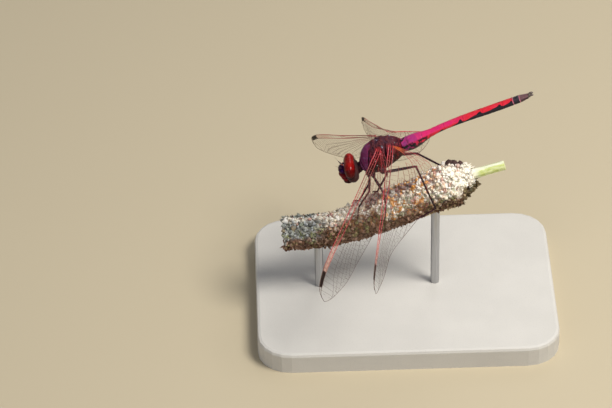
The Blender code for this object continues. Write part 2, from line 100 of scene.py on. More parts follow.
SEGMENTS = (1.1, 2.8, 4.3, 3.6, 3.7, 3.7, 1.95, 1.25, 0.85, 0.65)
ABDOMEN_SQUARENESS = 2.2
ABDOMEN_LINE = ((0, -0.35), (4.2, -0.12), (8, 0.33), (12, 0.4), (17, 0.24), (23.9, 0.1))
ABDOMEN_SIZES = (
    (0, 1.2, 1.2, 1.2), (1.5, 1.3, 1.2, 1.4), (2.8, 1.25, 1.08, 1.2), (4.2, 1.0, 0.85, 0.75),
    (5.5, 0.86, 0.66, 0.52), (8, 0.81, 0.52, 0.48), (12, 0.88, 0.52, 0.5), (14.5, 0.92, 0.55, 0.52),
    (18, 0.95, 0.57, 0.54), (21, 0.9, 0.55, 0.53), (22.4, 0.85, 0.54, 0.5), (23.9, 0.5, 0.38, 0.38),
)

FOREWING = {
    "base": Vector((1.95, -1.3, 2.2)) * MM,
    "length": 28.8 * MM,
    "sweep": radians(38.5),
    "droop": radians(19.2),
    "root_pitch": radians(-33.5),
    "tip_pitch": radians(-66),
    "leading": ((0, 0), (0.45, -0.008), (0.8, -0.02), (0.935, 0.004), (0.98, 0.04), (1, 0.08)),
    "trailing": (
        (0, 0.045), (0.1, 0.13), (0.3, 0.195), (0.55, 0.212), (0.8, 0.19), (0.93, 0.145), (0.985, 0.11),
        (1, 0.085),
    ),
    "nodus": 0.49,
    "stigma": (0.84, 0.935),
    "amber": 1.0 * MM,
}
HINDWING = {
    "base": Vector((1.95, 0.9, 2.0)) * MM,
    "length": 27.4 * MM,
    "sweep": radians(20.8),
    "droop": radians(22.7),
    "root_pitch": radians(-22),
    "tip_pitch": radians(-92),
    "leading": ((0, 0), (0.6, 0), (0.83, -0.007), (0.94, 0.006), (0.98, 0.035), (1, 0.07)),
    "trailing": (
        (0, 0.045), (0.04, 0.18), (0.1, 0.285), (0.25, 0.33), (0.45, 0.31), (0.65, 0.26), (0.85, 0.18),
        (0.95, 0.125), (0.99, 0.095), (1, 0.075),
    ),
    "nodus": 0.41,
    "stigma": (0.824, 0.93),
    "amber": 4.2 * MM,
}

PERCH_FRONT = -22.0
PERCH_BACK = 12.2
PERCH_BEND = -12.5
PERCH_BEND_HEIGHT = 16.35
PERCH_BEND_SOFTNESS = 1.2
PERCH_FRONT_SLOPE = 0.055
PERCH_BACK_SLOPE = 0.455
PERCH_RADIUS = ((0, 3.0), (0.3, 2.95), (0.5, 3.5), (0.75, 3.5), (0.9, 3.75), (1, 1.75))
KNOB_HEIGHT = 0.25
FOOT_HEIGHT = KNOB_HEIGHT + 0.22
STEM_LENGTH = 6.0
STEM_RADIUS = 0.85
STEM_SLOPE = 0.318
STEM_OFFSET = 0.35
STEM_RIBS = 9
STEM_HAIRS = 420

# Legs: hip on the thorax as (place along it, angle from its underside), the knee in the insect's frame, then
# the ankle and the claw on the perch as (place along its axis, angle from its top)
LEGS = {
    "front_left": ((-5.0, 36), (3.0, -5.9, -5.0), (-6.7, 18), (-7.5, 48)),
    "front_right": ((-5.0, 36), (-1.9, -6.35, -6.75), (-6.6, -4), (-7.7, -25)),
    "middle_left": ((-4.2, 44), (3.4, -3.68, -5.9), (-2.3, 45), (-3.25, 74)),
    "middle_right": ((-3.2, 44), (-3.0, -2.95, -6.95), (-3.3, -9), (-4.2, -34)),
    "hind_left": ((-2.3, 58), (4.2, 3.98, -2.65), (4.9, 102), (1.2, 120)),
    "hind_right": ((-2.0, 52), (-3.3, 3.5, -5.35), (8.3, -92), (10.9, -100)),
}

# A skin's ends close over one part in this many of its length
END_ROUNDING = 60
# Edges sharper than this angle stay sharp
SHARP = radians(50)


# ---------------------------------------------------------------- shapes shared by several pieces


def blend(table, at):
    """The value of a table of (place, value) pairs at a place, on a smooth curve through its points."""
    if at <= table[0][0]:
        return table[0][1]
    if at >= table[-1][0]:
        return table[-1][1]
    last = len(table) - 1
    i = max(k for k in range(last) if table[k][0] <= at)

    def slope(k):
        low, high = table[max(k - 1, 0)], table[min(k + 1, last)]
        return (high[1] - low[1]) / (high[0] - low[0])

    span = table[i + 1][0] - table[i][0]
    t = (at - table[i][0]) / span
    start = table[i][1] * (2 * t**3 - 3 * t**2 + 1) + slope(i) * span * (t**3 - 2 * t**2 + t)
    return start + table[i + 1][1] * (3 * t**2 - 2 * t**3) + slope(i + 1) * span * (t**3 - t**2)


def ease(t, low=0.0, high=1.0):
    t = min(max((t - low) / (high - low), 0), 1)
    return t * t * (3 - 2 * t)


def ridge(distance, width):
    """1 on a line, about a third at width from it and 0 further off."""
    return exp(-((distance / width) ** 2))


def signed_power(value, power):
    return (abs(value) ** power) * (1 if value >= 0 else -1)


def parts(steps):
    """The numbers from 0 to 1 in even steps."""
    return [k / steps for k in range(steps + 1)]


def deselect_all():
    if bpy.context.mode != "OBJECT":
        bpy.ops.object.mode_set(mode="OBJECT")
    bpy.ops.object.select_all(action="DESELECT")


def select_only(obj):
    deselect_all()
    obj.select_set(True)
    bpy.context.view_layer.objects.active = obj


def edit_whole(obj):
    """Edit mode, with all of the object's mesh selected."""
    select_only(obj)
    bpy.ops.object.mode_set(mode="EDIT")
    bpy.ops.mesh.select_all(action="SELECT")


def linked(name, data):
    obj = bpy.data.objects.new(name, data)
    bpy.context.scene.collection.objects.link(obj)
    return obj


def active_named(name):
    obj = bpy.context.view_layer.objects.active
    obj.name = obj.data.name = name
    return obj


def finish_piece(obj, finish, nodes=(), angle=SHARP):
    """Outward normals, smooth shading, the material, and the piece's place in the table."""
    edit_whole(obj)
    bpy.ops.mesh.normals_make_consistent(inside=False)
    bpy.ops.object.mode_set(mode="OBJECT")
    bpy.ops.object.shade_smooth()
    if angle:
        bpy.ops.object.shade_smooth_by_angle(angle=angle)
    if finish:
        obj.data.materials.append(finish.material)
    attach(obj, "root")
    if nodes:
        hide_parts(*nodes)


def keep_marks(mesh, marks):
    """Keeps lists of numbers, one for each point, under their names."""
    for name, values in marks.items():
        mesh.attributes.new(name, "FLOAT", "POINT").data.foreach_set("value", values)


def shaped_sphere(name, around, along, place):
    """A UV sphere whose points go to place(part, angle), which returns the point and numbers to keep on it.

    part runs 0 to 1 from pole to pole, and angle is from the top.
    """
    deselect_all()
    bpy.ops.mesh.primitive_uv_sphere_add(segments=around, ring_count=along, radius=1)
    obj = active_named(name)
    kept = {}
    for vert in obj.data.vertices:
        part = acos(min(max(vert.co.z, -1), 1)) / pi
        vert.co, marks = place(part, atan2(vert.co.x, vert.co.y))
        for key, value in marks.items():
            kept.setdefault(key, []).append(value)
    keep_marks(obj.data, kept)
    return obj


class Gathered:
    """Points and faces of one piece made of many small parts, with a few numbers kept on each point."""

    def __init__(self, *marks):
        self.marks = marks
        self.points = []
        self.faces = []
        self.kept = []

    def add(self, points, faces, *values):
        """values are numbers for all these points, or one list of tuples."""
        start = len(self.points)
        self.points.extend(points)
        self.faces.extend([tuple(start + k for k in face) for face in faces])
        self.kept.extend(values[0] if values and isinstance(values[0], list) else [values] * len(points))

    def tube(self, points, radii, sides, *values, up=Vector((0.31, 0.17, 0.93))):
        """A closed tube with pointed ends and a radius at each point."""
        rings = []
        last = len(points) - 1
        for i, point in enumerate(points):
            along = (points[min(i + 1, last)] - points[max(i - 1, 0)]).normalized()
            side = along.cross(up)
            if side.length < 1e-6:
                side = along.cross(Vector((1, 0.1, 0)))
            side.normalize()
            over = side.cross(along)
            for k in range(sides):
                angle = 2 * pi * k / sides
                rings.append(point + (side * cos(angle) + over * sin(angle)) * radii[i])
        faces = []
        for i in range(last):
            for k in range(sides):
                a, b = i * sides + k, i * sides + (k + 1) % sides
                faces.append((a, b, b + sides, a + sides))
        first, final = len(rings), len(rings) + 1
        rings.append(points[0] - (points[1] - points[0]).normalized() * radii[0] * 0.5)
        rings.append(points[-1] + (points[-1] - points[-2]).normalized() * radii[-1] * 0.5)
        for k in range(sides):
            faces.append((first, (k + 1) % sides, k))
            faces.append((final, last * sides + k, last * sides + (k + 1) % sides))
        self.add(rings, faces, *values)

    def swelling(self, points, size, swell, sides, mark=None):
        """A tube whose radius is size times the swell table's value. mark(part) is the number kept there."""
        along = parts(len(points) - 1)
        values = []
        if mark:
            places = [part for part in along for _ in range(sides)] + [0, 1]
            values.append([(mark(part),) for part in places])
        self.tube(points, [size * blend(swell, part) for part in along], sides, *values)

    def make(self, name):
        mesh = bpy.data.meshes.new(name)
        mesh.from_pydata(self.points, [], self.faces)
        keep_marks(mesh, {mark: [kept[k] for kept in self.kept] for k, mark in enumerate(self.marks)})
        return linked(name, mesh)


def model_of(obj):
    """The points and faces of a small model, which is then removed, for copies of it."""
    points = [vert.co.copy() for vert in obj.data.vertices]
    faces = [tuple(face.vertices) for face in obj.data.polygons]
    bpy.data.objects.remove(obj, do_unlink=True)
    return points, faces


# ---------------------------------------------------------------- materials


class Value:
    """A socket's number inside one material. Sums on it add the material's Math nodes."""

    def __init__(self, finish, socket):
        self.finish = finish
        self.socket = socket

    def _math(self, operation, *values):
        return self.finish.node("Math", {"operation": operation}, dict(enumerate(values)))

    def __add__(self, other):
        return self._math("ADD", self, other)

    def __sub__(self, other):
        return self._math("SUBTRACT", self, other)

    def __rsub__(self, other):
        return self._math("SUBTRACT", other, self)

    def __mul__(self, other):
        return self._math("MULTIPLY", self, other)

    def __truediv__(self, other):
        return self._math("DIVIDE", self, other)

    __radd__ = __add__
    __rmul__ = __mul__

    def larger(self, other):
        return self._math("MAXIMUM", self, other)

    def distance(self, other):
        gap = self - other
        return gap._math("ABSOLUTE", gap)

    def fractional(self):
        return self._math("FRACT", self)

    def swing(self, size):
        """The number spread evenly about 0, size in all."""
        return (self - 0.5) * size

    def between(self, low, high):
        """0 at low and 1 at high, with a soft step. low may be the greater."""
        settings = {"interpolation_type": "SMOOTHSTEP"}
        return self.finish.node("MapRange", settings, {0: self, 1: low, 2: high, 3: 0.0, 4: 1.0})


class Finish:
    """A procedural material on its way: node makes every node, and the other methods are its short forms."""

    def __init__(self, name, roughness=0.5, metallic=0.0, coat=0.0, specular=0.5):
        self.material = bpy.data.materials.new(name)
        self.material.use_nodes = True
        self.tree = self.material.node_tree
        self.shader = self.tree.nodes["Principled BSDF"]
        constants = {
            "Roughness": roughness,
            "Metallic": metallic,
            "Coat Weight": coat,
            "Coat Roughness": 0.08,
            "Specular IOR Level": specular,
        }
        for key, value in constants.items():
            self.shader.inputs[key].default_value = value
        self.place = self.node("TexCoord", out="Object")

    def node(self, kind, settings=None, values=None, out=0):
        made = self.tree.nodes.new("ShaderNode" + kind)
        for key, value in (settings or {}).items():
            if key == "stops":
                self._stops(made.color_ramp, value)
            else:
                setattr(made, key, value)
        for key, value in (values or {}).items():
            self.feed(made.inputs[key], value)
        return Value(self, made.outputs[out])

    def _stops(self, ramp, stops):
        while len(ramp.elements) < len(stops):
            ramp.elements.new(0.5)
        for element, (place, tone) in zip(ramp.elements, stops):
            element.position = place
            element.color = (*tone, 1)

    def feed(self, socket, value):
        if isinstance(value, Value):
            self.tree.links.new(value.socket, socket)
        elif socket.type == "RGBA":
            socket.default_value = (*value, 1)
        else:
            socket.default_value = value

    def set(self, **inputs):
        for key, value in inputs.items():
            self.feed(self.shader.inputs[key.replace("_", " ").title()], value)

    def mark(self, name):
        """A number that the piece keeps on its points."""
        return self.node("Attribute", {"attribute_name": name}, out="Fac")

    def mix(self, factor, first, second):
        return self.node("Mix", {"data_type": "RGBA"}, {0: factor, 6: first, 7: second}, out=2)

    def over(self, base, *layers):
        """A base colour under layers of (mask, colour), the last on top."""
        for mask, tone in layers:
            base = self.mix(mask, base, tone)
        return base

    def ramp(self, factor, *stops):
        return self.node("ValToRGB", {"stops": stops}, {0: factor})

    def noise(self, size, detail=3.0, place=None):
        """Cloudy noise whose lumps are about size metres."""
        values = {"Vector": place or self.place, "Scale": 1 / size, "Detail": detail, "Roughness": 0.55}
        return self.node("TexNoise", None, values)

    def cells(self, size, feature="F1"):
        return self.node("TexVoronoi", {"feature": feature}, {"Vector": self.place, "Scale": 1 / size})

    def stretched(self, scale):
        """Object coordinates scaled along each axis."""
        return self.node("Mapping", None, {"Vector": self.place, "Scale": scale})

    def bump(self, height, distance, strength=0.5, under=None):
        values = {"Height": height, "Distance": distance, "Strength": strength}
        if under:
            values["Normal"] = under
        return self.node("Bump", None, values)


def mottled(name, size, first, second, relief=None, **look):
    """A finish of two tones in cloudy patches of about size metres, which stand out by relief."""
    finish = Finish(name, **look)
    grain = finish.noise(size)
    finish.set(base_color=finish.mix(grain, first, second))
    if relief:
        finish.set(normal=finish.bump(grain, relief))
    return finish


def colour(name, words, default):
    """A colour property; default is linear red, green and blue."""
    return FloatVectorProperty(
        name=name, description=words, default=default, subtype="COLOR", size=3, min=0.0, max=1.0
    )


def amount(name, words, default, **limits):
    return FloatProperty(name=name, description=words, default=default, **limits)


def length(name, words, default):
    return amount(name, words, default, min=0.0, unit="LENGTH", precision=5)


# ---------------------------------------------------------------- body


class BodySettings(bpy.types.PropertyGroup):
    bloom: colour("Bloom", "Violet bloom on the front of the thorax", (0.17, 0.03, 0.1))
    flank: colour("Flank", "Dark red of the thorax's sides", (0.14, 0.004, 0.008))
    shoulder: colour("Shoulder", "Brown-red of the thorax's upper sides", (0.2, 0.03, 0.045))
    waist: colour("Abdomen base", "Magenta-violet of the first segments", (0.3, 0.028, 0.19))
    middle: colour("Abdomen middle", "Magenta-pink of the third and fourth segments", (0.7, 0.016, 0.15))
    rear: colour("Abdomen rear", "Bright red from the fifth segment on", (0.68, 0.015, 0.028))
    dark: colour("Black", "Black marks and tip of the abdomen", (0.012, 0.009, 0.014))
    suture_depth: length("Suture depth", "How deep the thorax's plate lines are", 0.00011)


def thorax_place(y, angle, lift=0):
    """A point lift out from the thorax's outline, in millimetres. angle is from its top."""
    top, bottom = blend(THORAX_TOP, y), blend(THORAX_BOTTOM, y)
    x = signed_power(sin(angle), 2 / THORAX_SQUARENESS)
    z = signed_power(cos(angle), 2 / THORAX_SQUARENESS)
    x *= 1 - THORAX_ROOF * max(z, 0)
    half = (top - bottom) / 2 + lift
    return Vector((x * (blend(THORAX_WIDTH, y) + lift), y, (top + bottom) / 2 + z * half))


# Oblique plate lines of the thorax's sides: place along the body at wing height, and their width
SUTURES = ((-2.98, 0.14), (-1.6, 0.1), (0.2, 0.17), (1.45, 0.11))
SUTURE_SLANT = 0.42


def thorax_marks(point, level):
    """(suture, keel, wing_base, top) at a point of the thorax in millimetres."""
    side = ease(abs(point.x), 0.8, 1.5)
    wander = 0.14 * noise.noise(point * 1.1)
    suture = max(ridge(level + wander - place, width) for place, width in SUTURES) * side
    suture *= ease(point.z, -3.4, -2.6)
    collar = ridge(point.y + 5.2 + 0.1 * point.z, 0.1)
    keel = ridge(point.x, 0.09) * ease(point.y, -5.2, -4.6) * (1 - ease(point.y, -2.6, -2.1)) * (point.z > 0)
    wing_base = 0
    for y in WING_ROOTS:
        away = Vector((abs(point.x) - WING_ROOT_SIDE, (point.y - y) * 0.75, point.z - WING_ROOT_HEIGHT))
        wing_base = max(wing_base, ridge(away.length, 0.8))
    top = ease(point.z, 1.2, 2.2) * ease(level, -2.9, -2.3)
    return max(suture, collar * 0.9), keel, wing_base, top


def thorax_skin(settings):
    depth = settings.suture_depth / MM

    def place(part, angle):
        y = THORAX_FRONT + (THORAX_BACK - THORAX_FRONT) * (part + 0.02 * sin(2 * pi * part))
        point = thorax_place(y, angle)
        from_end = min(part, 1 - part) * END_ROUNDING
        if from_end < 1:
            middle = (blend(THORAX_TOP, y) + blend(THORAX_BOTTOM, y)) / 2
            point = Vector((0, y, middle)).lerp(point, from_end)
        level = point.y - SUTURE_SLANT * (point.z - WING_ROOT_HEIGHT)
        suture, keel, wing_base, top = thorax_marks(point, level)
        out = Vector((point.x, 0, point.z)).normalized()
        lumps = noise.noise(point * 1.6) * 0.6 + noise.noise(point * 3.7) * 0.4
        # The plates bulge between the lines, and the back is knobbly between the wings
        plate = 0.07 * ease(level, -3.1, -2.7) * (1 - max(ridge(level - line, 0.5) for line, _ in SUTURES))
        lift = keel * 0.1 - suture * depth + wing_base * 0.06 + plate + lumps * (0.05 + 0.3 * top) - 0.1
        point = point + out * lift
        marks = {"suture": suture, "wing_base": wing_base, "top": top, "fore": -level, "height": point.z}
        return INSECT @ (point * MM), marks

    return shaped_sphere("thorax_part", 128, 150, place)


def abdomen_axis(along):
    return Vector((0, THORAX_BACK + along, blend(ABDOMEN_LINE, along)))


def segment_at(along):
    """(number of the segment, part of its length) at a distance along the abdomen."""
    start = 0
    for number, size in enumerate(SEGMENTS, 1):
        if along <= start + size or number == len(SEGMENTS):
            return number, min(max((along - start) / size, 0), 1)
        start += size


def abdomen_skin():
    whole = sum(SEGMENTS)
    step = 0.01

    def place(part, angle):
        # The first and last hundredth of the rings close the ends
        reach = part * 1.02 - 0.01
        along = whole * min(max(reach, 0), 1)
        number, fraction = segment_at(along)
        forward = (abdomen_axis(along + step) - abdomen_axis(along - step)).normalized()
        up = Vector((0, -forward.z, forward.y))
        width, over, under = (blend([(row[0], row[k]) for row in ABDOMEN_SIZES], along) for k in (1, 2, 3))
        x = signed_power(sin(angle), 2 / ABDOMEN_SQUARENESS)
        z = signed_power(cos(angle), 2 / ABDOMEN_SQUARENESS)
        size = SEGMENTS[number - 1]
        from_joint = min(fraction, 1 - fraction) * size
        joint = 0.045 * ridge(from_joint, 0.07) * (number > 1)
        flare = 0.022 * ease(fraction, 0.55, 0.96)
        keel = 0.05 * ridge(angle, 0.13) * ease(along, 2.5, 4) * (1 - ease(along, 22, 23))
        flank = 0.035 * ridge(abs(angle) - 1.75, 0.1) * ease(along, 2.5, 4)
        cross = 0.035 * ridge((fraction - 0.42) * size, 0.05) * (number in (2, 3)) * (abs(angle) < 2)
        swell = 1 + flare - joint - cross
        closing = sqrt(max(1 + min(reach, 1 - reach, 0) / 0.01, 0))
        radius_x = (width * swell + flank) * closing
        radius_z = ((over if z > 0 else under) * swell + keel) * closing
        point = abdomen_axis(along) + Vector((x * radius_x, 0, 0)) + up * (z * radius_z)
        marks = {"segment": number + fraction, "round": abs(angle) / pi, "edge": from_joint}
        return INSECT @ (point * MM), marks

    return shaped_sphere("abdomen_part", 56, 380, place)


def neck_skin():
    back = HEAD @ (Vector((0, HEAD_BACK - 0.25, -0.1)) * MM)
    front = INSECT @ (Vector((0, THORAX_FRONT + 0.3, -1.2)) * MM)

    def place(part, angle):
        swell = 0.92 + 0.1 * sin(part * 3 * pi) ** 2
        radius = 0.93 * MM * swell * min(1, sqrt(min(part, 1 - part) * 24))
        out = INSECT.to_3x3() @ Vector((sin(angle), 0, cos(angle)))
        return back.lerp(front, part) + out * radius, {"suture": 0.45, "wing_base": 0, "top": 1, "fore": 2}

    return shaped_sphere("neck_part", 40, 30, place)


def thorax_finish(settings):
    skin = Finish("thorax_bloom_and_sutures", roughness=0.5, specular=0.03)
    fore, height = skin.mark("fore"), skin.mark("height")
    cloud = skin.noise(0.0011)
    fine = skin.noise(0.00022, detail=4.0)
    lump = skin.noise(0.0006, detail=2.0)
    bloom = skin.over(
        settings.bloom,
        (skin.noise(0.0008).between(0.45, 0.7) * 0.5, (0.24, 0.12, 0.26)),
        ((height + cloud).between(-0.6, -2.4) * 0.7, (0.1, 0.012, 0.04)),
    )
    upper = (height + cloud * 1.6).between(0.9, 2.2)
    side = skin.over(
        settings.flank,
        (upper, settings.shoulder),
        (lump.between(0.44, 0.56) * 0.85, (0.014, 0.004, 0.008)),
        (skin.noise(0.0007, detail=1.0).between(0.58, 0.66) * upper * 0.6, (0.2, 0.07, 0.08)),
        ((height + cloud.swing(1.6)).between(0.2, -2.0) * 0.6, (0.03, 0.005, 0.008)),
    )
    front = (fore + cloud.swing(1.2) + lump.swing(1.6)).between(2.6, 3.3)
    ridged = skin.mix(lump.between(0.4, 0.6), (0.02, 0.018, 0.03), (0.11, 0.03, 0.035))
    # Small pale and blue-green spots, a little metallic: painted glints of light scattered over the thorax
    glint_spots = skin.cells(0.00075).between(0.2, 0.14) * skin.noise(0.0016, detail=0.0).between(0.46, 0.52)
    glint_spots = glint_spots * (1 - front * 0.8)
    tint = skin.ramp(
        skin.noise(0.0013, detail=0.0),
        (0.4, (0.1, 0.26, 0.25)), (0.5, (0.22, 0.24, 0.36)), (0.6, (0.7, 0.62, 0.66)),
    )
    hinge = skin.mark("wing_base").between(0.45, 0.85) * fine.between(0.35, 0.6)
    final = skin.over(
        side,
        (front, bloom),
        (skin.mark("top") * (1 - front) * 0.85, ridged),
        (fine.between(0.5, 0.8) * 0.45, (0.02, 0.004, 0.012)),
        # The painted glints
        (glint_spots * 0.85, tint),
        (skin.mark("suture").between(0.3, 0.8) * 0.92, (0.008, 0.005, 0.007)),
        (hinge * 0.6, (0.4, 0.03, 0.025)),
    )
    skin.set(base_color=final, metallic=glint_spots * 0.4, roughness=0.54 - lump.between(0.5, 0.7) * 0.2)
    skin.set(normal=skin.bump(lump, 0.0001, under=skin.bump(fine, 0.00006, 0.6)))
    return skin


def abdomen_finish(settings):
    skin = Finish("abdomen_magenta_to_red", roughness=0.42, coat=0.1, specular=0.3)
    segment, around, edge = skin.mark("segment"), skin.mark("round"), skin.mark("edge")
    fine = skin.noise(0.00018, detail=4.0)
    cloud = skin.noise(0.0008)
    main = skin.ramp(
        (segment - 1.0) / 8.0 + cloud.swing(0.08),
        (0.06, settings.waist), (0.2, settings.waist * 0.7 + settings.middle * 0.3), (0.27, settings.middle),
        (0.4, settings.middle), (0.53, settings.rear), (1.0, settings.rear),
    )
    flank = (around + cloud.swing(0.12)).between(0.26, 0.42) * segment.between(1.9, 2.8)
    belly = (around + cloud.swing(0.1)).between(0.56, 0.66) * segment.between(4.2, 3.4)
    fraction = segment.fractional()
    # Each black mark starts low at the front of its segment and rises to a point near its rear
    climb = fraction.between(0.0, 0.8) * (1 - fraction.between(0.9, 1.0) * 0.7) * 0.4
    peak = fraction.between(0.66, 0.86) * fraction.between(0.96, 0.87) * 0.6
    lowest = 0.62 - segment.between(4.0, 6.2) * 0.32
    highest = 0.43 - segment.between(3.95, 4.05) * 0.2 - segment.between(4.5, 5.3) * 0.14
    tall = lowest - (climb + peak) * (lowest - highest)
    saw = (around + cloud.swing(0.08) - tall).between(0.0, 0.02) * segment.between(3.4, 3.6)
    low = skin.noise(0.0006, detail=2.0).between(0.42, 0.5) * around.between(0.3, 0.4)
    dorsal = skin.noise(0.0009, detail=2.0).between(0.56, 0.62) * segment.between(2.4, 1.6)
    mottle = (low * segment.between(3.6, 3.0)).larger(dorsal)
    tip = (segment + (0.5 - around) * 0.4).between(8.02, 8.2)
    black = saw.larger(mottle).larger(tip)
    worn = tip * cloud.between(0.3, 0.6) * around.between(0.4, 0.1)
    ring = edge.between(0.11, 0.05) * segment.between(7.9, 8.0) * segment.between(9.9, 9.6)
    joint = edge.between(0.09, 0.0) * (1 - ring) * segment.between(1.5, 2.0)
    final = skin.over(
        main,
        (cloud.between(0.45, 0.65) * 0.35, (0.8, 0.05, 0.11)),
        (fine.between(0.4, 0.8) * 0.4, (0.18, 0.006, 0.03)),
        (flank * 0.85, (0.62, 0.016, 0.022)),
        (belly, (0.13, 0.004, 0.012)),
        (black, skin.mix(worn, settings.dark, (0.05, 0.04, 0.05))),
        (ring, (0.42, 0.13, 0.18)),
        (segment.between(8.95, 9.1) * (0.85 - around.between(0.3, 0.45) * 0.6), (0.15, 0.075, 0.08)),
        (joint * 0.6, (0.09, 0.004, 0.02)),
    )
    skin.set(base_color=final, roughness=0.44 - black * 0.12 + fine * 0.08)
    skin.set(normal=skin.bump(fine, 0.00003))
    return skin


class BodySkin(bpy.types.Operator):
    """Models the head, neck, thorax and abdomen as one skin, and finishes it"""

    bl_idname = "dropwing.body_skin"
    bl_label = "Body skin"

    def execute(self, context):
        body, face = context.scene.dropwing_body, context.scene.dropwing_head
        plates = thorax_finish(body)
        skins = (
            (thorax_skin(body), plates),
            (neck_skin(), plates),
            (abdomen_skin(), abdomen_finish(body)),
            (head_skin(), head_finish(face)),
        )
        deselect_all()
        for part, finish in skins:
            part.data.materials.append(finish.material)
            part.select_set(True)
        context.view_layer.objects.active = skins[0][0]
        bpy.ops.object.join()
        nodes = ["head", "labium", "neck", "thorax"]
        nodes += [f"abdomen_segment_{number:02d}" for number in range(1, len(SEGMENTS) + 1)]
        finish_piece(active_named("body_skin"), None, nodes)
        return {"FINISHED"}


# ---------------------------------------------------------------- head


class HeadSettings(bpy.types.PropertyGroup):
    eye: colour("Eye", "Deep red of the eyes", (0.2, 0.003, 0.003))
    eye_low: colour("Eye below", "Darker lower part of the eyes", (0.09, 0.002, 0.002))
    frons: colour("Frons", "Metallic violet of the forehead", (0.05, 0.008, 0.05))
    face: colour("Face", "Red of the clypeus and labrum", (0.2, 0.008, 0.012))
    back: colour("Back", "Dark brown of the head's back and lower side", (0.065, 0.011, 0.009))
    facet: length("Facet", "Width of one facet of an eye", 0.00007)


def head_reach(direction):
    """How far the head's skin is from its middle along a direction, each form's share, and the crease."""
    reaches = {}
    for name, (centre, size) in HEAD_FORMS.items():
        start = Vector([-c / s for c, s in zip(centre, size)])
        line = Vector([d / s for d, s in zip(direction, size)])
        a, b, c = line.dot(line), start.dot(line), start.dot(start) - 1
        inside = b * b - a * c
        reaches[name] = (-b + sqrt(inside)) / a if inside > 0 else 0
    most = max(reaches.values())
    pulls = {name: exp((reach - most) / HEAD_SOFTNESS) for name, reach in reaches.items()}
    shares = {name: pull / sum(pulls.values()) for name, pull in pulls.items()}
    crease = 1 - max(shares.values())
    reach = most - HEAD_CREASE * crease
    if direction.y * reach > HEAD_BACK:
        reach = HEAD_BACK / direction.y
    return reach, shares, crease


def head_skin():
    def place(part, angle):
        direction = Vector((sin(pi * part) * sin(angle), -cos(pi * part), sin(pi * part) * cos(angle)))
        reach, shares, crease = head_reach(direction)
        point = direction * reach
        # A groove down the forehead, and the line where the jaws meet the labrum
        notch = ridge(point.x, 0.12) * shares["frons"] * 0.09
        point -= direction * (notch + 0.02 * noise.noise(point * 3.5))
        marks = {
            "frons": shares["frons"] + shares["vertex"],
            "face": shares["clypeus"] + shares["labrum"],
            "crease": crease,
            "rear": ease(point.y, 0.2, 1.0),
        }
        return HEAD @ (point * MM), marks

    return shaped_sphere("head_part", 128, 110, place)


def head_finish(settings):
    skin = Finish("head_face_and_frons", roughness=0.35, coat=0.05, specular=0.08)
    frons, face = skin.mark("frons"), skin.mark("face")
    fine = skin.noise(0.00016)
    cloud = skin.noise(0.0007)
    red = skin.mix(fine.between(0.4, 0.8) * 0.4, settings.face, (0.07, 0.004, 0.008))
    violet = skin.mix(cloud.between(0.45, 0.6), settings.frons, (0.03, 0.006, 0.06))
    final = skin.over(
        settings.back,
        (cloud.between(0.35, 0.65), (0.02, 0.01, 0.013)),
        (skin.mark("rear").between(0.5, 1.0) * 0.5, (0.09, 0.045, 0.045)),
        (face.between(0.4, 0.6), red),
        (frons.between(0.4, 0.6), violet),
        (skin.mark("crease").between(0.15, 0.45) * 0.7, (0.008, 0.004, 0.006)),
    )
    skin.set(base_color=final, roughness=0.38 - frons.between(0.4, 0.6) * 0.12)
    skin.set(metallic=frons.between(0.4, 0.7) * 0.85, normal=skin.bump(fine, 0.00003))
    return skin


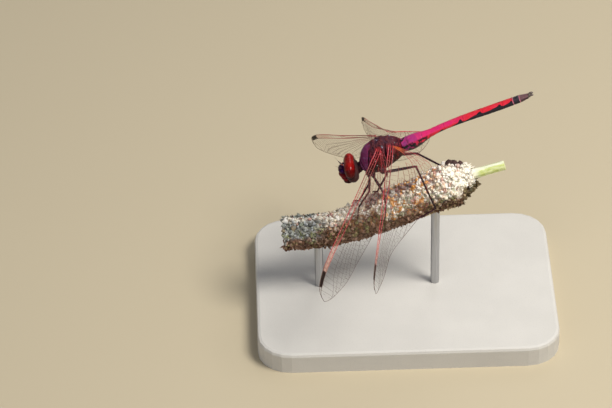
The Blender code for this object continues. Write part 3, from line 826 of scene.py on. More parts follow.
class Eyes(bpy.types.Operator):
    """Models the two compound eyes, which meet on top of the head"""

    bl_idname = "dropwing.eyes"
    bl_label = "Eyes"

    def execute(self, context):
        settings = context.scene.dropwing_head
        glass = Finish("eye_faceted_red", roughness=0.3, coat=0.25, specular=0.03)
        facets = glass.cells(settings.facet, feature="DISTANCE_TO_EDGE")
        cloud = glass.noise(0.0006)
        streak = glass.noise(0.0009, detail=2.0, place=glass.stretched((1, 1.6, 0.5)))
        final = glass.over(
            settings.eye,
            (cloud.between(0.35, 0.65) * 0.6, (0.36, 0.012, 0.008)),
            (streak.between(0.5, 0.68) * 0.75, (0.05, 0.003, 0.004)),
            ((glass.mark("low") + cloud.swing(0.3)).between(0.45, 0.9) * 0.95, settings.eye_low),
            # Darker towards the front and rear edges: at the rear partly the eye's own dark margin, along
            # both edges painted shade
            ((glass.mark("rim") + cloud.swing(0.5)).between(0.3, 0.8) * 0.85, (0.045, 0.004, 0.004)),
            (facets.between(0.12, 0.0) * 0.35, (0.03, 0.001, 0.002)),
        )
        glass.set(base_color=final, normal=glass.bump(facets.between(0.0, 0.3), 0.00001, 0.35))
        for side, word in SIDES:
            deselect_all()
            bpy.ops.mesh.primitive_uv_sphere_add(segments=96, ring_count=64, radius=1)
            eye = active_named(f"eye_{word}_lens")
            place = Vector((EYE_PLACE[0] * side, EYE_PLACE[1], EYE_PLACE[2]))
            for vert in eye.data.vertices:
                # The inner side is fuller, so that the two eyes meet along a line
                inward = max(-vert.co.x * side, 0) * EYE_SIZE[0] / EYE_PLACE[0]
                full = (1 - min(inward, 1) ** 2 * (EYE_PLACE[0] / EYE_SIZE[0]) ** 2) ** -0.45
                x, y, z = (c * s for c, s in zip(vert.co, EYE_SIZE))
                vert.co = place + Vector((x, y * full, z * full))
            edit_whole(eye)
            bpy.ops.mesh.bisect(
                plane_co=(side * EYE_GAP, 0, 0), plane_no=(side, 0, 0), use_fill=True, clear_inner=True
            )
            bpy.ops.object.mode_set(mode="OBJECT")
            lows, rim_margin_and_shade = [], []
            for vert in eye.data.vertices:
                x, y, z = vert.co
                lows.append(ease(x * side - z, 0.2, 1.1))
                # rim: partly the eye's dark rear margin, partly painted shade along its front and rear edges
                rim_margin_and_shade.append(max(ease(y, 0.5, 1.0), ease(-y, 0.75, 1.0)))
                vert.co = HEAD @ (vert.co * MM)
            keep_marks(eye.data, {"low": lows, "rim": rim_margin_and_shade})
            finish_piece(eye, glass, [f"eye_{word}"])
        return {"FINISHED"}


FEELER_SWELL = ((0, 0.13), (0.12, 0.14), (0.17, 0.08), (0.27, 0.09), (0.33, 0.03), (1, 0.012))


class HeadParts(bpy.types.Operator):
    """Models the antennae and the three ocelli"""

    bl_idname = "dropwing.head_parts"
    bl_label = "Antennae and ocelli"

    def execute(self, context):
        black = (0.012, 0.006, 0.01), (0.05, 0.014, 0.02)
        horn = mottled("antenna_black", 0.0002, *black, roughness=0.4, coat=0.2)
        for side, word in SIDES:
            root = Vector((0.7 * side, -1.55, 1.0))
            tip = Vector((1.35 * side, -2.6, 2.25))
            bow = Vector((0.05 * side, -0.12, 0.1))
            feeler = Gathered()
            line = [HEAD @ ((root.lerp(tip, part) + bow * sin(pi * part)) * MM) for part in parts(12)]
            feeler.swelling(line, MM, FEELER_SWELL, 10)
            finish_piece(feeler.make(f"antenna_{word}_bristle"), horn, [f"antenna_{word}"])

        amber = (0.25, 0.03, 0.02), (0.4, 0.08, 0.03)
        bead = mottled("ocellus_amber", 0.0002, *amber, roughness=0.1, coat=1.0)
        deselect_all()
        bpy.ops.mesh.primitive_ico_sphere_add(subdivisions=3, radius=0.13 * MM)
        points, faces = model_of(active_named("ocellus_model"))
        ocelli = Gathered()
        for way in ((0, -1.5, 1.35), (0.34, -1.2, 1.45), (-0.34, -1.2, 1.45)):
            way = Vector(way).normalized()
            middle = HEAD @ (way * head_reach(way)[0] * MM)
            ocelli.add([middle + point for point in points], faces)
        finish_piece(ocelli.make("ocelli"), bead)
        return {"FINISHED"}


# ---------------------------------------------------------------- wings


class WingSettings(bpy.types.PropertyGroup):
    vein_root: colour("Vein near root", "Red of the veins near the body and in front", (0.5, 0.012, 0.03))
    vein_tip: colour("Vein near tip", "Brown of the other veins", (0.1, 0.048, 0.028))
    stigma: colour("Stigma", "Black of the cell near each tip", (0.008, 0.005, 0.005))
    amber: colour("Amber", "Orange stain at the root of the hindwings", (0.72, 0.2, 0.02))
    film: colour("Film", "Tint of the clear membrane", (0.16, 0.12, 0.07))
    blush: colour("Blush", "Salmon tint of the strip behind the front edge", (0.72, 0.36, 0.25))
    film_alpha: amount("Film density", "How much of it shows", 0.035, min=0.0, max=1.0, subtype="FACTOR")
    edge_vein: length("Edge vein", "Radius of the front edge's vein", 0.000085)
    long_vein: length("Long vein", "Radius of the main long veins", 0.00005)
    cross_vein: length("Cross vein", "Radius of the net of small veins", 0.000019)
    film_thickness: length("Film thickness", "Thickness of the membrane", 0.000015)


# Long veins of a wing behind the front edge, as (part of the wing's length, part of its chord) pairs, with
# their share of long_vein's radius and the rows of cells between each and the next
LONG_VEINS = (
    (((0.13, 0.26), (0.3, 0.27), (0.5, 0.3), (0.68, 0.36), (0.84, 0.5), (0.955, 0.97)), 0.75, 2),
    (((0.2, 0.34), (0.35, 0.38), (0.5, 0.45), (0.68, 0.58), (0.82, 0.78), (0.9, 0.99)), 0.6, 2),
    (((0.14, 0.34), (0.25, 0.43), (0.4, 0.52), (0.55, 0.62), (0.7, 0.8), (0.79, 0.99)), 0.7, 1),
    (((0.1, 0.42), (0.2, 0.5), (0.4, 0.6), (0.52, 0.7), (0.64, 0.87), (0.71, 0.99)), 0.7, 2),
    (((0.0, 0.5), (0.1, 0.56), (0.2, 0.63), (0.32, 0.72), (0.44, 0.86), (0.52, 0.99)), 0.8, 2),
    (((0.0, 0.7), (0.08, 0.72), (0.15, 0.78), (0.24, 0.88), (0.32, 0.99)), 0.7, 2),
)
CELL = 0.86 * MM
NET_ROWS = 13
CURVE_STEP = 0.012
PLEAT = 0.86 * MM
PLEAT_DEPTH = 0.11 * MM
# How far the first two veins run behind the front edge, the radius as (part of the length, millimetres) pairs
SUBCOSTA_GAP = 0.43 * MM
RADIUS_GAP = ((0, 0.75), (0.1, 0.86), (0.8, 0.86), (0.93, 0.7), (0.985, 0.3))


def chord_length(wing, along):
    return max(blend(wing["trailing"], along) - blend(wing["leading"], along), 0.004) * wing["length"]


def wing_point(wing, side, along, across):
    """A point of the wing's pleated sheet and its normal. across is 0 at the front edge and 1 at the rear."""
    sweep, droop = wing["sweep"], wing["droop"]
    span = Vector((side * cos(droop) * cos(sweep), -cos(droop) * sin(sweep), -sin(droop)))
    back = Vector((0, 1, 0))
    back = (back - span * back.dot(span)).normalized()
    up = span.cross(back) * side
    pitch = wing["root_pitch"] + (wing["tip_pitch"] - wing["root_pitch"]) * ease(along / 0.7)
    chord = back * cos(pitch) + up * sin(pitch)
    base = Vector((wing["base"].x * side, wing["base"].y, wing["base"].z))
    leading = blend(wing["leading"], along)
    depth = leading + (blend(wing["trailing"], along) - leading) * across
    normal = span.cross(chord).normalized() * side
    behind = across * chord_length(wing, along)
    pleat = PLEAT_DEPTH * cos(2 * pi * behind / PLEAT) * exp(-behind / (1.1 * MM))
    ripple = 0.05 * MM * sin(along * 21 + across * 3) * across
    point = base + (span * along + chord * depth) * wing["length"] + normal * (pleat + ripple)
    return INSECT @ point, (INSECT.to_3x3() @ normal).normalized()


def front_veins(wing):
    """The subcosta and the radius as (along, across) pairs, which keep their distance from the front edge."""
    subcosta, radius = [], []
    for part in parts(40):
        along = wing["nodus"] * part
        behind = SUBCOSTA_GAP * (1 - ease(part, 0.8, 1)) * ease(along, -0.05, 0.04)
        subcosta.append((along, behind / chord_length(wing, along)))
    for part in parts(80):
        along = RADIUS_GAP[-1][0] * part
        behind = blend(RADIUS_GAP, along) * MM
        radius.append((along, min(behind / chord_length(wing, along), 0.8)))
    return subcosta, radius


def wing_sheet(name, wing, side, settings, finish):
    """The membrane: a grid laid on the wing's surface and given its thickness."""
    deselect_all()
    bpy.ops.mesh.primitive_grid_add(x_subdivisions=120, y_subdivisions=30, size=1)
    sheet = active_named(f"{name}_membrane")
    radius = front_veins(wing)[1]
    stain, strip = [], []
    for vert in sheet.data.vertices:
        along, across = (vert.co.x + 0.5) ** 1.12, (vert.co.y + 0.5) ** 1.3
        vert.co = wing_point(wing, side, along, across)[0]
        chord = chord_length(wing, along)
        from_root = sqrt((along * wing["length"]) ** 2 + (across * chord) ** 2)
        stain.append((1 - min(from_root / wing["amber"], 1)) * ease(across, 0.3, 0.55))
        behind_radius = max(across - blend(radius, along), 0) * chord / MM
        outer = ease(along, 0.55, 0.75) * (along < wing["stigma"][0])
        strip.append((1 - ease(behind_radius, 0, 0.25)) * outer)
    keep_marks(sheet.data, {"stain": stain, "strip": strip})
    select_only(sheet)
    bpy.ops.object.modifier_add(type="SOLIDIFY")
    solidify = sheet.modifiers[-1]
    solidify.thickness = settings.film_thickness
    solidify.offset = 0
    bpy.ops.object.modifier_apply(modifier=solidify.name)
    finish_piece(sheet, finish, [name], angle=None)


def wing_veins(name, wing, side, settings, finish):
    """The front edge, the long veins and the net of cells between them, as one piece of fine tubes."""
    net = Gathered("root", "lead")
    rng = random.Random(name.replace("_", ""))

    def strand(pairs, radius, lead, sides=5, taper=0.5):
        points, radii, marks, up = [], [], [], None
        for along, across in pairs:
            point, normal = wing_point(wing, side, along, across)
            up = up or normal
            points.append(point)
            radii.append(radius * (1 - taper * along))
            marks += [(along, lead)] * sides
        marks += [(pairs[0][0], lead), (pairs[-1][0], lead)]
        net.tube(points, radii, sides, marks, up=up)

    def cross(pairs, lead=0.1, share=1.0):
        """One of the small veins, of one thickness all along."""
        strand(pairs, settings.cross_vein * share, lead, 4, 0)

    subcosta, radius = front_veins(wing)
    strand([(part, 0.0) for part in parts(90)], settings.edge_vein, 1.0, sides=7, taper=0.55)
    strand(subcosta, settings.long_vein * 0.85, 0.9, sides=6)
    strand(radius, settings.long_vein * 1.35, 1.0, sides=6)
    strand([(1.0, part) for part in parts(10)], settings.cross_vein * 1.8, 0.1, taper=0)
    strand([(1 - part, 1.0) for part in parts(110)], settings.cross_vein * 1.9, 0.0, taper=0)
    curves = []
    for table, share, _ in LONG_VEINS:
        start, span = table[0][0], table[-1][0] - table[0][0]
        places = [start + span * part for part in parts(max(int(span / CURVE_STEP), 4))]
        curves.append([(along, min(blend(table, along), 1.0)) for along in places])
        strand(curves[-1], settings.long_vein * share, 0.45)

    # Cross veins square to the front edge, single between the front veins
    along = 0.03
    while along < 0.97:
        inner = blend(subcosta, along) if along < wing["nodus"] else 0.0
        if not wing["stigma"][0] < along < wing["stigma"][1]:
            if inner > 0.01:
                cross([(along, 0.0), (along, inner)], 0.5, 1.3)
            cross([(along, inner), (along, blend(radius, along))], 0.5, 1.3)
        along += CELL * 1.15 / wing["length"] * rng.uniform(0.92, 1.08)
    for place in (wing["nodus"], *wing["stigma"]):
        strand([(place, 0.0), (place + 0.004, blend(radius, place))], settings.long_vein * 0.8, 0.7, 5, 0)

    step = CELL / wing["length"]
    fill_field(cross, radius, curves[0], 1, step, rng)
    for upper, lower, (_, _, rows) in zip(curves, curves[1:], LONG_VEINS):
        fill_field(cross, upper, lower, rows, step, rng)
    rear_net(wing, cross, curves, rng)
    finish_piece(net.make(f"{name}_veins"), finish, angle=None)


def fill_field(cross, upper, lower, rows, step, rng):
    """Rows of cells between two long veins: the inner lines zigzag, so the cells turn six-sided."""
    start = max(upper[0][0], lower[0][0])
    end = min(upper[-1][0], lower[-1][0])
    count = max(int((end - start) / step), 1) * 2 + 2
    lines = {}
    for line in range(rows + 1):
        for k in range(count):
            along = start + (k + 0.5) * (end - start) / (count - 1)
            wave = 0.0
            if 0 < line < rows:
                wave = (0.17 if (k + line) % 2 else -0.17) / rows
            jitter = rng.uniform(-0.12, 0.12) * step
            top, bottom = blend(upper, along), blend(lower, along)
            lines[line, k] = (along + jitter, top + (bottom - top) * (line / rows + wave))
    for line in range(1, rows):
        cross([lines[line, k] for k in range(count)])
    for line in range(rows):
        for k in range(line % 2, count, 2):
            cross([lines[line, k], lines[line + 1, k]], 0.15)


def rear_net(wing, cross, curves, rng):
    """Fills the area from the long veins to the rear edge with rows of six-sided cells along the edge."""
    step = CELL * 0.9 / wing["length"]
    count = int(0.97 / (step / 2))

    def limit(along):
        """Across, where the area starts: the rearmost long vein there."""
        reach = [blend(curve, along) for curve in curves if curve[0][0] <= along <= curve[-1][0]]
        return max(reach, default=0.0)

    def node(k, row):
        """Node k of a row line, zigzag, or None where a long vein is in the way."""
        along = (k + 0.5) * step / 2
        wave = 0.15 if (k + row) % 2 else -0.15
        across = 1 - CELL * 0.85 * (row + (wave if row else 0)) / chord_length(wing, along)
        return (along + rng.uniform(-0.1, 0.1) * step, across) if across > limit(along) + 0.02 else None

    below = None
    for row in range(1, NET_ROWS + 1):
        line = [node(k, row) for k in range(count)]
        below = below or [node(k, 0) for k in range(count)]
        chain = []
        for k in range(count):
            if line[k]:
                chain.append(line[k])
            if (not line[k] or k == count - 1) and len(chain) > 1:
                cross(chain)
            if not line[k]:
                chain = []
            if (k + row) % 2 == 0 and below[k]:
                top = line[k] or (below[k][0], limit(below[k][0]))
                if below[k][1] - top[1] > 0.01:
                    cross([top, below[k]], 0.12)
        below = line


def wing_stigma(name, wing, side, finish):
    """The dark thickened cell near the tip, between the front edge and the radius."""
    radius = front_veins(wing)[1]
    start, end = wing["stigma"]
    cell = Gathered()
    steps, rows = 14, 4
    for sign in (1, -1):
        points, faces = [], []
        for i in range(steps + 1):
            along = start + (end - start) * i / steps
            for j in range(rows + 1):
                point, normal = wing_point(wing, side, along, blend(radius, along) * j / rows)
                round_off = sqrt(max(1 - (2 * j / rows - 1) ** 4, 0)) * (0 < i < steps)
                points.append(point + normal * sign * 0.055 * MM * round_off)
        for i in range(steps):
            for j in range(rows):
                a = i * (rows + 1) + j
                faces.append((a, a + 1, a + rows + 2, a + rows + 1))
        cell.add(points, faces)
    piece = cell.make(f"{name}_stigma")
    edit_whole(piece)
    bpy.ops.mesh.remove_doubles(threshold=1e-6)
    finish_piece(piece, finish)


class Wings(bpy.types.Operator):
    """Models the four wings: membrane, net of veins and dark cell near the tip"""

    bl_idname = "dropwing.wings"
    bl_label = "Wings"

    def execute(self, context):
        settings = context.scene.dropwing_wings
        film = Finish("wing_clear_film", roughness=0.25, specular=0.3)
        strip = film.mark("strip")
        cloud = film.noise(0.0016)
        fine = film.noise(0.0005, detail=2.0)
        amber = (film.mark("stain") + cloud.swing(0.35)).between(0.12, 0.6)
        final = film.over(
            settings.film,
            (cloud.between(0.3, 0.7), settings.film * 0.75),
            (strip.between(0.05, 0.4), settings.blush),
            (amber, settings.amber),
        )
        film.set(base_color=final, normal=film.bump(cloud, 0.0001, 0.25))
        film.set(alpha=settings.film_alpha * (0.8 + fine * 0.4) + amber * 0.4 + strip * 0.22)

        vein = Finish("wing_vein_red_to_brown", roughness=0.35, coat=0.15)
        root, lead = vein.mark("root"), vein.mark("lead")
        red = root.between(0.5, 0.1).larger(lead.between(0.4, 1.0) * root.between(0.88, 0.72))
        red = red * (1 - root.between(0.08, 0.14) * root.between(0.36, 0.22) * 0.6)
        body = vein.mix(vein.noise(0.0004) * 0.4, settings.vein_root, (0.25, 0.01, 0.015))
        vein.set(base_color=vein.mix(red, settings.vein_tip, body))

        dark = mottled(
            "wing_stigma_dark", 0.0002, settings.stigma, (0.022, 0.011, 0.009), 0.00002,
            roughness=0.5, specular=0.15,
        )
        for pair, wing in (("forewing", FOREWING), ("hindwing", HINDWING)):
            for side, word in SIDES:
                name = f"{pair}_{word}"
                wing_sheet(name, wing, side, settings, film)
                wing_veins(name, wing, side, settings, vein)
                wing_stigma(name, wing, side, dark)
        return {"FINISHED"}


# ---------------------------------------------------------------- perch geometry, legs


def perch_height(y):
    past = (y - PERCH_BEND) / PERCH_BEND_SOFTNESS
    bend = (PERCH_BACK_SLOPE - PERCH_FRONT_SLOPE) * PERCH_BEND_SOFTNESS * log(1 + exp(past))
    return PERCH_BEND_HEIGHT + PERCH_FRONT_SLOPE * (y - PERCH_BEND) + bend


def perch_frame(y):
    along = Vector((0, 0.02, perch_height(y + 0.01) - perch_height(y - 0.01))).normalized()
    return Vector((0, y, perch_height(y))), along, Vector((0, -along.z, along.y))


def perch_radius(y):
    return blend(PERCH_RADIUS, (y - PERCH_FRONT) / (PERCH_BACK - PERCH_FRONT))


def on_perch(y, angle, lift):
    """A point over the spike in metres, lift from its mean radius, and the ways out and along there."""
    centre, along, up = perch_frame(y)
    out = Vector((sin(angle), 0, 0)) + up * cos(angle)
    return (centre + out * (perch_radius(y) + lift)) * MM, out, along


class LegSettings(bpy.types.PropertyGroup):
    skin: colour("Skin", "Near-black of the legs", (0.016, 0.008, 0.012))
    sheen: colour("Sheen", "Purple-brown that shows on their upper sides", (0.07, 0.02, 0.045))
    femur: length("Thigh radius", "Radius of the thickest thigh", 0.00028)
    tibia: length("Shin radius", "Radius of a shin", 0.00018)
    tarsus: length("Foot radius", "Radius of a foot", 0.00012)
    bristle: length("Bristle length", "Length of the shin's bristles", 0.00065)


THIGH_SWELL = ((0, 0.95), (0.1, 0.8), (0.35, 1.0), (0.75, 0.85), (0.93, 0.68), (1, 0.78))
SHIN_SWELL = ((0, 1.25), (0.06, 0.95), (0.4, 1.05), (0.9, 0.85), (1, 0.95))
CLAW_SWELL = ((0, 0.066), (1, 0.006))
BRISTLE_RADII = (0.022 * MM, 0.016 * MM, 0.003 * MM)
HAIR_RADII = (0.014 * MM, 0.003 * MM)
DOWN_RADII = (0.012 * MM, 0.003 * MM)
BRISTLE_PAIRS = 9
THIGH_HAIRS = 12


class Legs(bpy.types.Operator):
    """Models the six legs with their bristles, and the claws that grip the spike"""

    bl_idname = "dropwing.legs"
    bl_label = "Legs"

    def execute(self, context):
        settings = context.scene.dropwing_legs
        skin = Finish("leg_black_violet_sheen", roughness=0.4, coat=0.06, specular=0.12)
        base = skin.mix(skin.noise(0.0003).between(0.45, 0.7), settings.skin, settings.sheen)
        skin.set(base_color=skin.mix(skin.mark("knee"), base, (0.2, 0.05, 0.07)))
        skin.set(normal=skin.bump(skin.noise(0.0001), 0.00002))
        horn = mottled("claw_horn", 0.0001, (0.03, 0.012, 0.01), (0.08, 0.03, 0.02), roughness=0.3, coat=0.4)
        for name, places in LEGS.items():
            self.leg(name, settings, skin, horn, *places)
        return {"FINISHED"}

    def leg(self, name, settings, skin, horn, hip_place, knee, ankle_place, claw_place):
        rng = random.Random(name)
        row, word = name.split("_")
        thick = settings.femur * {"front": 0.88, "middle": 0.94, "hind": 1.0}[row]
        angle = pi - radians(hip_place[1]) * (1 if word == "left" else -1)
        inside, hip, out = (
            INSECT @ (thorax_place(hip_place[0], angle, lift) * MM) for lift in (-0.25, 0.2, 0.62)
        )
        knee = INSECT @ (Vector(knee) * MM)
        thigh_end = knee + (out - knee).normalized() * thick * 0.5
        ankle, outward, _ = on_perch(ankle_place[0], radians(ankle_place[1]), FOOT_HEIGHT)

        # Hip joint, thigh, shin and foot, each a smooth tapered tube
        leg = Gathered("knee")
        leg.tube([inside, hip, out], [thick * 1.9, thick * 1.75, thick * 1.2], 14, 0.0)
        thigh = [out.lerp(thigh_end, part) for part in parts(10)]
        leg.swelling(thigh, thick, THIGH_SWELL, 14, lambda part: ease(part, 0.86, 1.0) * 0.6)
        shin = [knee.lerp(ankle, part) for part in parts(8)]
        leg.swelling(shin, settings.tibia, SHIN_SWELL, 12, lambda part: (1 - ease(part, 0, 0.14)) * 0.7)
        toes = []
        for part in parts(12):
            y, turn = (start + (end - start) * part for start, end in zip(ankle_place, claw_place))
            toes.append(on_perch(y, radians(turn), FOOT_HEIGHT - 0.1 * part)[0])
        for first, last in ((0, 3), (3, 7), (7, 12)):
            radii = [settings.tarsus * (0.8 + 0.35 * part) for part in parts(last - first)]
            leg.tube(toes[first:last + 1], radii, 10, 0.15)

        # Two rows of bristles down the shin, and finer ones under the thigh
        along = (ankle - knee).normalized()
        across = along.cross(outward).normalized()
        for k in range(BRISTLE_PAIRS):
            for sign in (1, -1):
                root = knee.lerp(ankle, 0.1 + 0.84 * (k + 0.25 * sign) / BRISTLE_PAIRS)
                way = (across * sign * 0.75 - outward * 0.35 + along * 0.62).normalized()
                size = settings.bristle * rng.uniform(0.75, 1.05) * (1.1 - 0.35 * k / BRISTLE_PAIRS)
                bend = root + way * size * 0.55 + along * size * 0.04
                tip = root + way * size + along * size * 0.16
                leg.tube([root, bend, tip], BRISTLE_RADII, 5, 0.0)
        thigh_way = (thigh_end - out).normalized()
        thigh_side = thigh_way.cross(outward).normalized()
        for k in range(THIGH_HAIRS):
            way = (thigh_side * rng.uniform(-1, 1) - outward * 0.8 + thigh_way * 0.5).normalized()
            root = out.lerp(thigh_end, 0.2 + 0.75 * k / THIGH_HAIRS) + way * thick * 0.6
            leg.tube([root, root + way * settings.bristle * 0.4], HAIR_RADII, 4, 0.0)
        nodes = [f"leg_{name}_{part}" for part in ("femur", "tibia", "tarsus")]
        finish_piece(leg.make(f"leg_{name}"), skin, nodes)

        claws = Gathered()
        end = toes[-1]
        ahead = (end - toes[-3]).normalized()
        inward = -on_perch(claw_place[0], radians(claw_place[1]), 1)[1]
        spread = ahead.cross(inward).normalized()
        for sign in (1, -1):
            points = []
            for part in parts(6):
                hook = inward * (0.3 * part**2) + ahead * (0.3 * sin(part * pi / 2))
                points.append(end + (hook + spread * sign * 0.13 * part) * MM)
            claws.swelling(points, MM, CLAW_SWELL, 7)
        finish_piece(claws.make(f"leg_{name}_claws"), horn)


CERCUS_SWELL = ((0, 0.15), (0.3, 0.17), (0.7, 0.21), (0.92, 0.16), (1, 0.09))
LOWER_SWELL = ((0, 0.24), (0.5, 0.2), (1, 0.07))


class Cerci(bpy.types.Operator):
    """Models the appendages at the abdomen's end: two hooks and, with the left one, the plate below them"""

    bl_idname = "dropwing.cerci"
    bl_label = "Cerci"

    def execute(self, context):
        horn = Finish("cercus_brown", roughness=0.4, coat=0.2)
        grain = horn.noise(0.0002)
        horn.set(base_color=horn.mix(grain.between(0.35, 0.65), (0.06, 0.04, 0.036), (0.17, 0.13, 0.11)))
        horn.set(normal=horn.bump(grain, 0.00003))
        end = abdomen_axis(sum(SEGMENTS))
        for side, word in SIDES:
            piece = Gathered()
            hook = []
            for part in parts(12):
                x, z = side * (0.25 + 0.1 * sin(part * pi * 0.8)), 0.1 + 0.08 * sin(part * pi)
                hook.append(INSECT @ ((end + Vector((x, -0.12 + 1.08 * part, z))) * MM))
            piece.swelling(hook, MM, CERCUS_SWELL, 12)
            if side > 0:
                lower = [Vector((0, -0.1 + 0.8 * part, -0.16 + 0.1 * part)) for part in parts(6)]
                piece.swelling([INSECT @ ((end + point) * MM) for point in lower], MM, LOWER_SWELL, 12)
            finish_piece(piece.make(f"cercus_{word}_hook"), horn, [f"cercus_{word}"])
        return {"FINISHED"}


# ---------------------------------------------------------------- seed spike, stem and stand


class SpikeSettings(bpy.types.PropertyGroup):
    # Cream goes on the upper side over the brown: partly the spike's own colours, partly painted sunlight
    # from above
    cream: colour("Cream", "Dry bracts on the upper side", (0.9, 0.82, 0.66))
    pink: colour("Pink", "Pinkish bracts", (0.6, 0.34, 0.3))
    brown: colour("Brown", "Husks on the lower side", (0.2, 0.105, 0.065))
    orange: colour("Orange", "Ripe flecks in the middle", (0.82, 0.36, 0.04))
    olive: colour("Olive", "Green-grey flecks", (0.26, 0.28, 0.1))
    grey: colour("Grey", "Weathered blue-grey bracts of the front end", (0.3, 0.3, 0.27))
    crumb: length("Crumb", "Size of the largest seed crumbs", 0.0011)
    crumbs: IntProperty(name="Crumbs", description="Seeds and husks on the spike", default=2200, min=10)
    bracts: IntProperty(name="Bracts", description="Papery scales between the crumbs", default=2400, min=0)
    stem: colour("Stem", "Lime green of the stem", (0.6, 0.68, 0.2))


# The withered brown lumps on top near the stem and the pale one beside them: place along the spike, angle
# from its top, size and shade
WITHERED = ((9.3, -0.5, 1.6, 0.05), (10.1, -0.55, 1.9, 0.0), (10.9, -0.5, 1.6, 0.05), (8.4, -0.55, 1.2, 0.4))
SPIKE_MARKS = ("shade", "lit", "withered")

# The faces of a bract: two layers of 4 rows of 3 points, and the rim that joins them
BRACT_RIM = [0, 1, 2, 5, 8, 11, 10, 9, 6, 3]
BRACT_FACES = []
for corner in (0, 1, 3, 4, 6, 7):
    BRACT_FACES.append((corner, corner + 1, corner + 4, corner + 3))
    BRACT_FACES.append((corner + 12, corner + 15, corner + 16, corner + 13))
BRACT_FACES += [(a, a + 12, b + 12, b) for a, b in zip(BRACT_RIM, BRACT_RIM[1:] + BRACT_RIM[:1])]


def facing_up(out):
    """1 for a surface that faces up, 0 for one that faces down."""
    return 1 - out.angle(UP) / pi


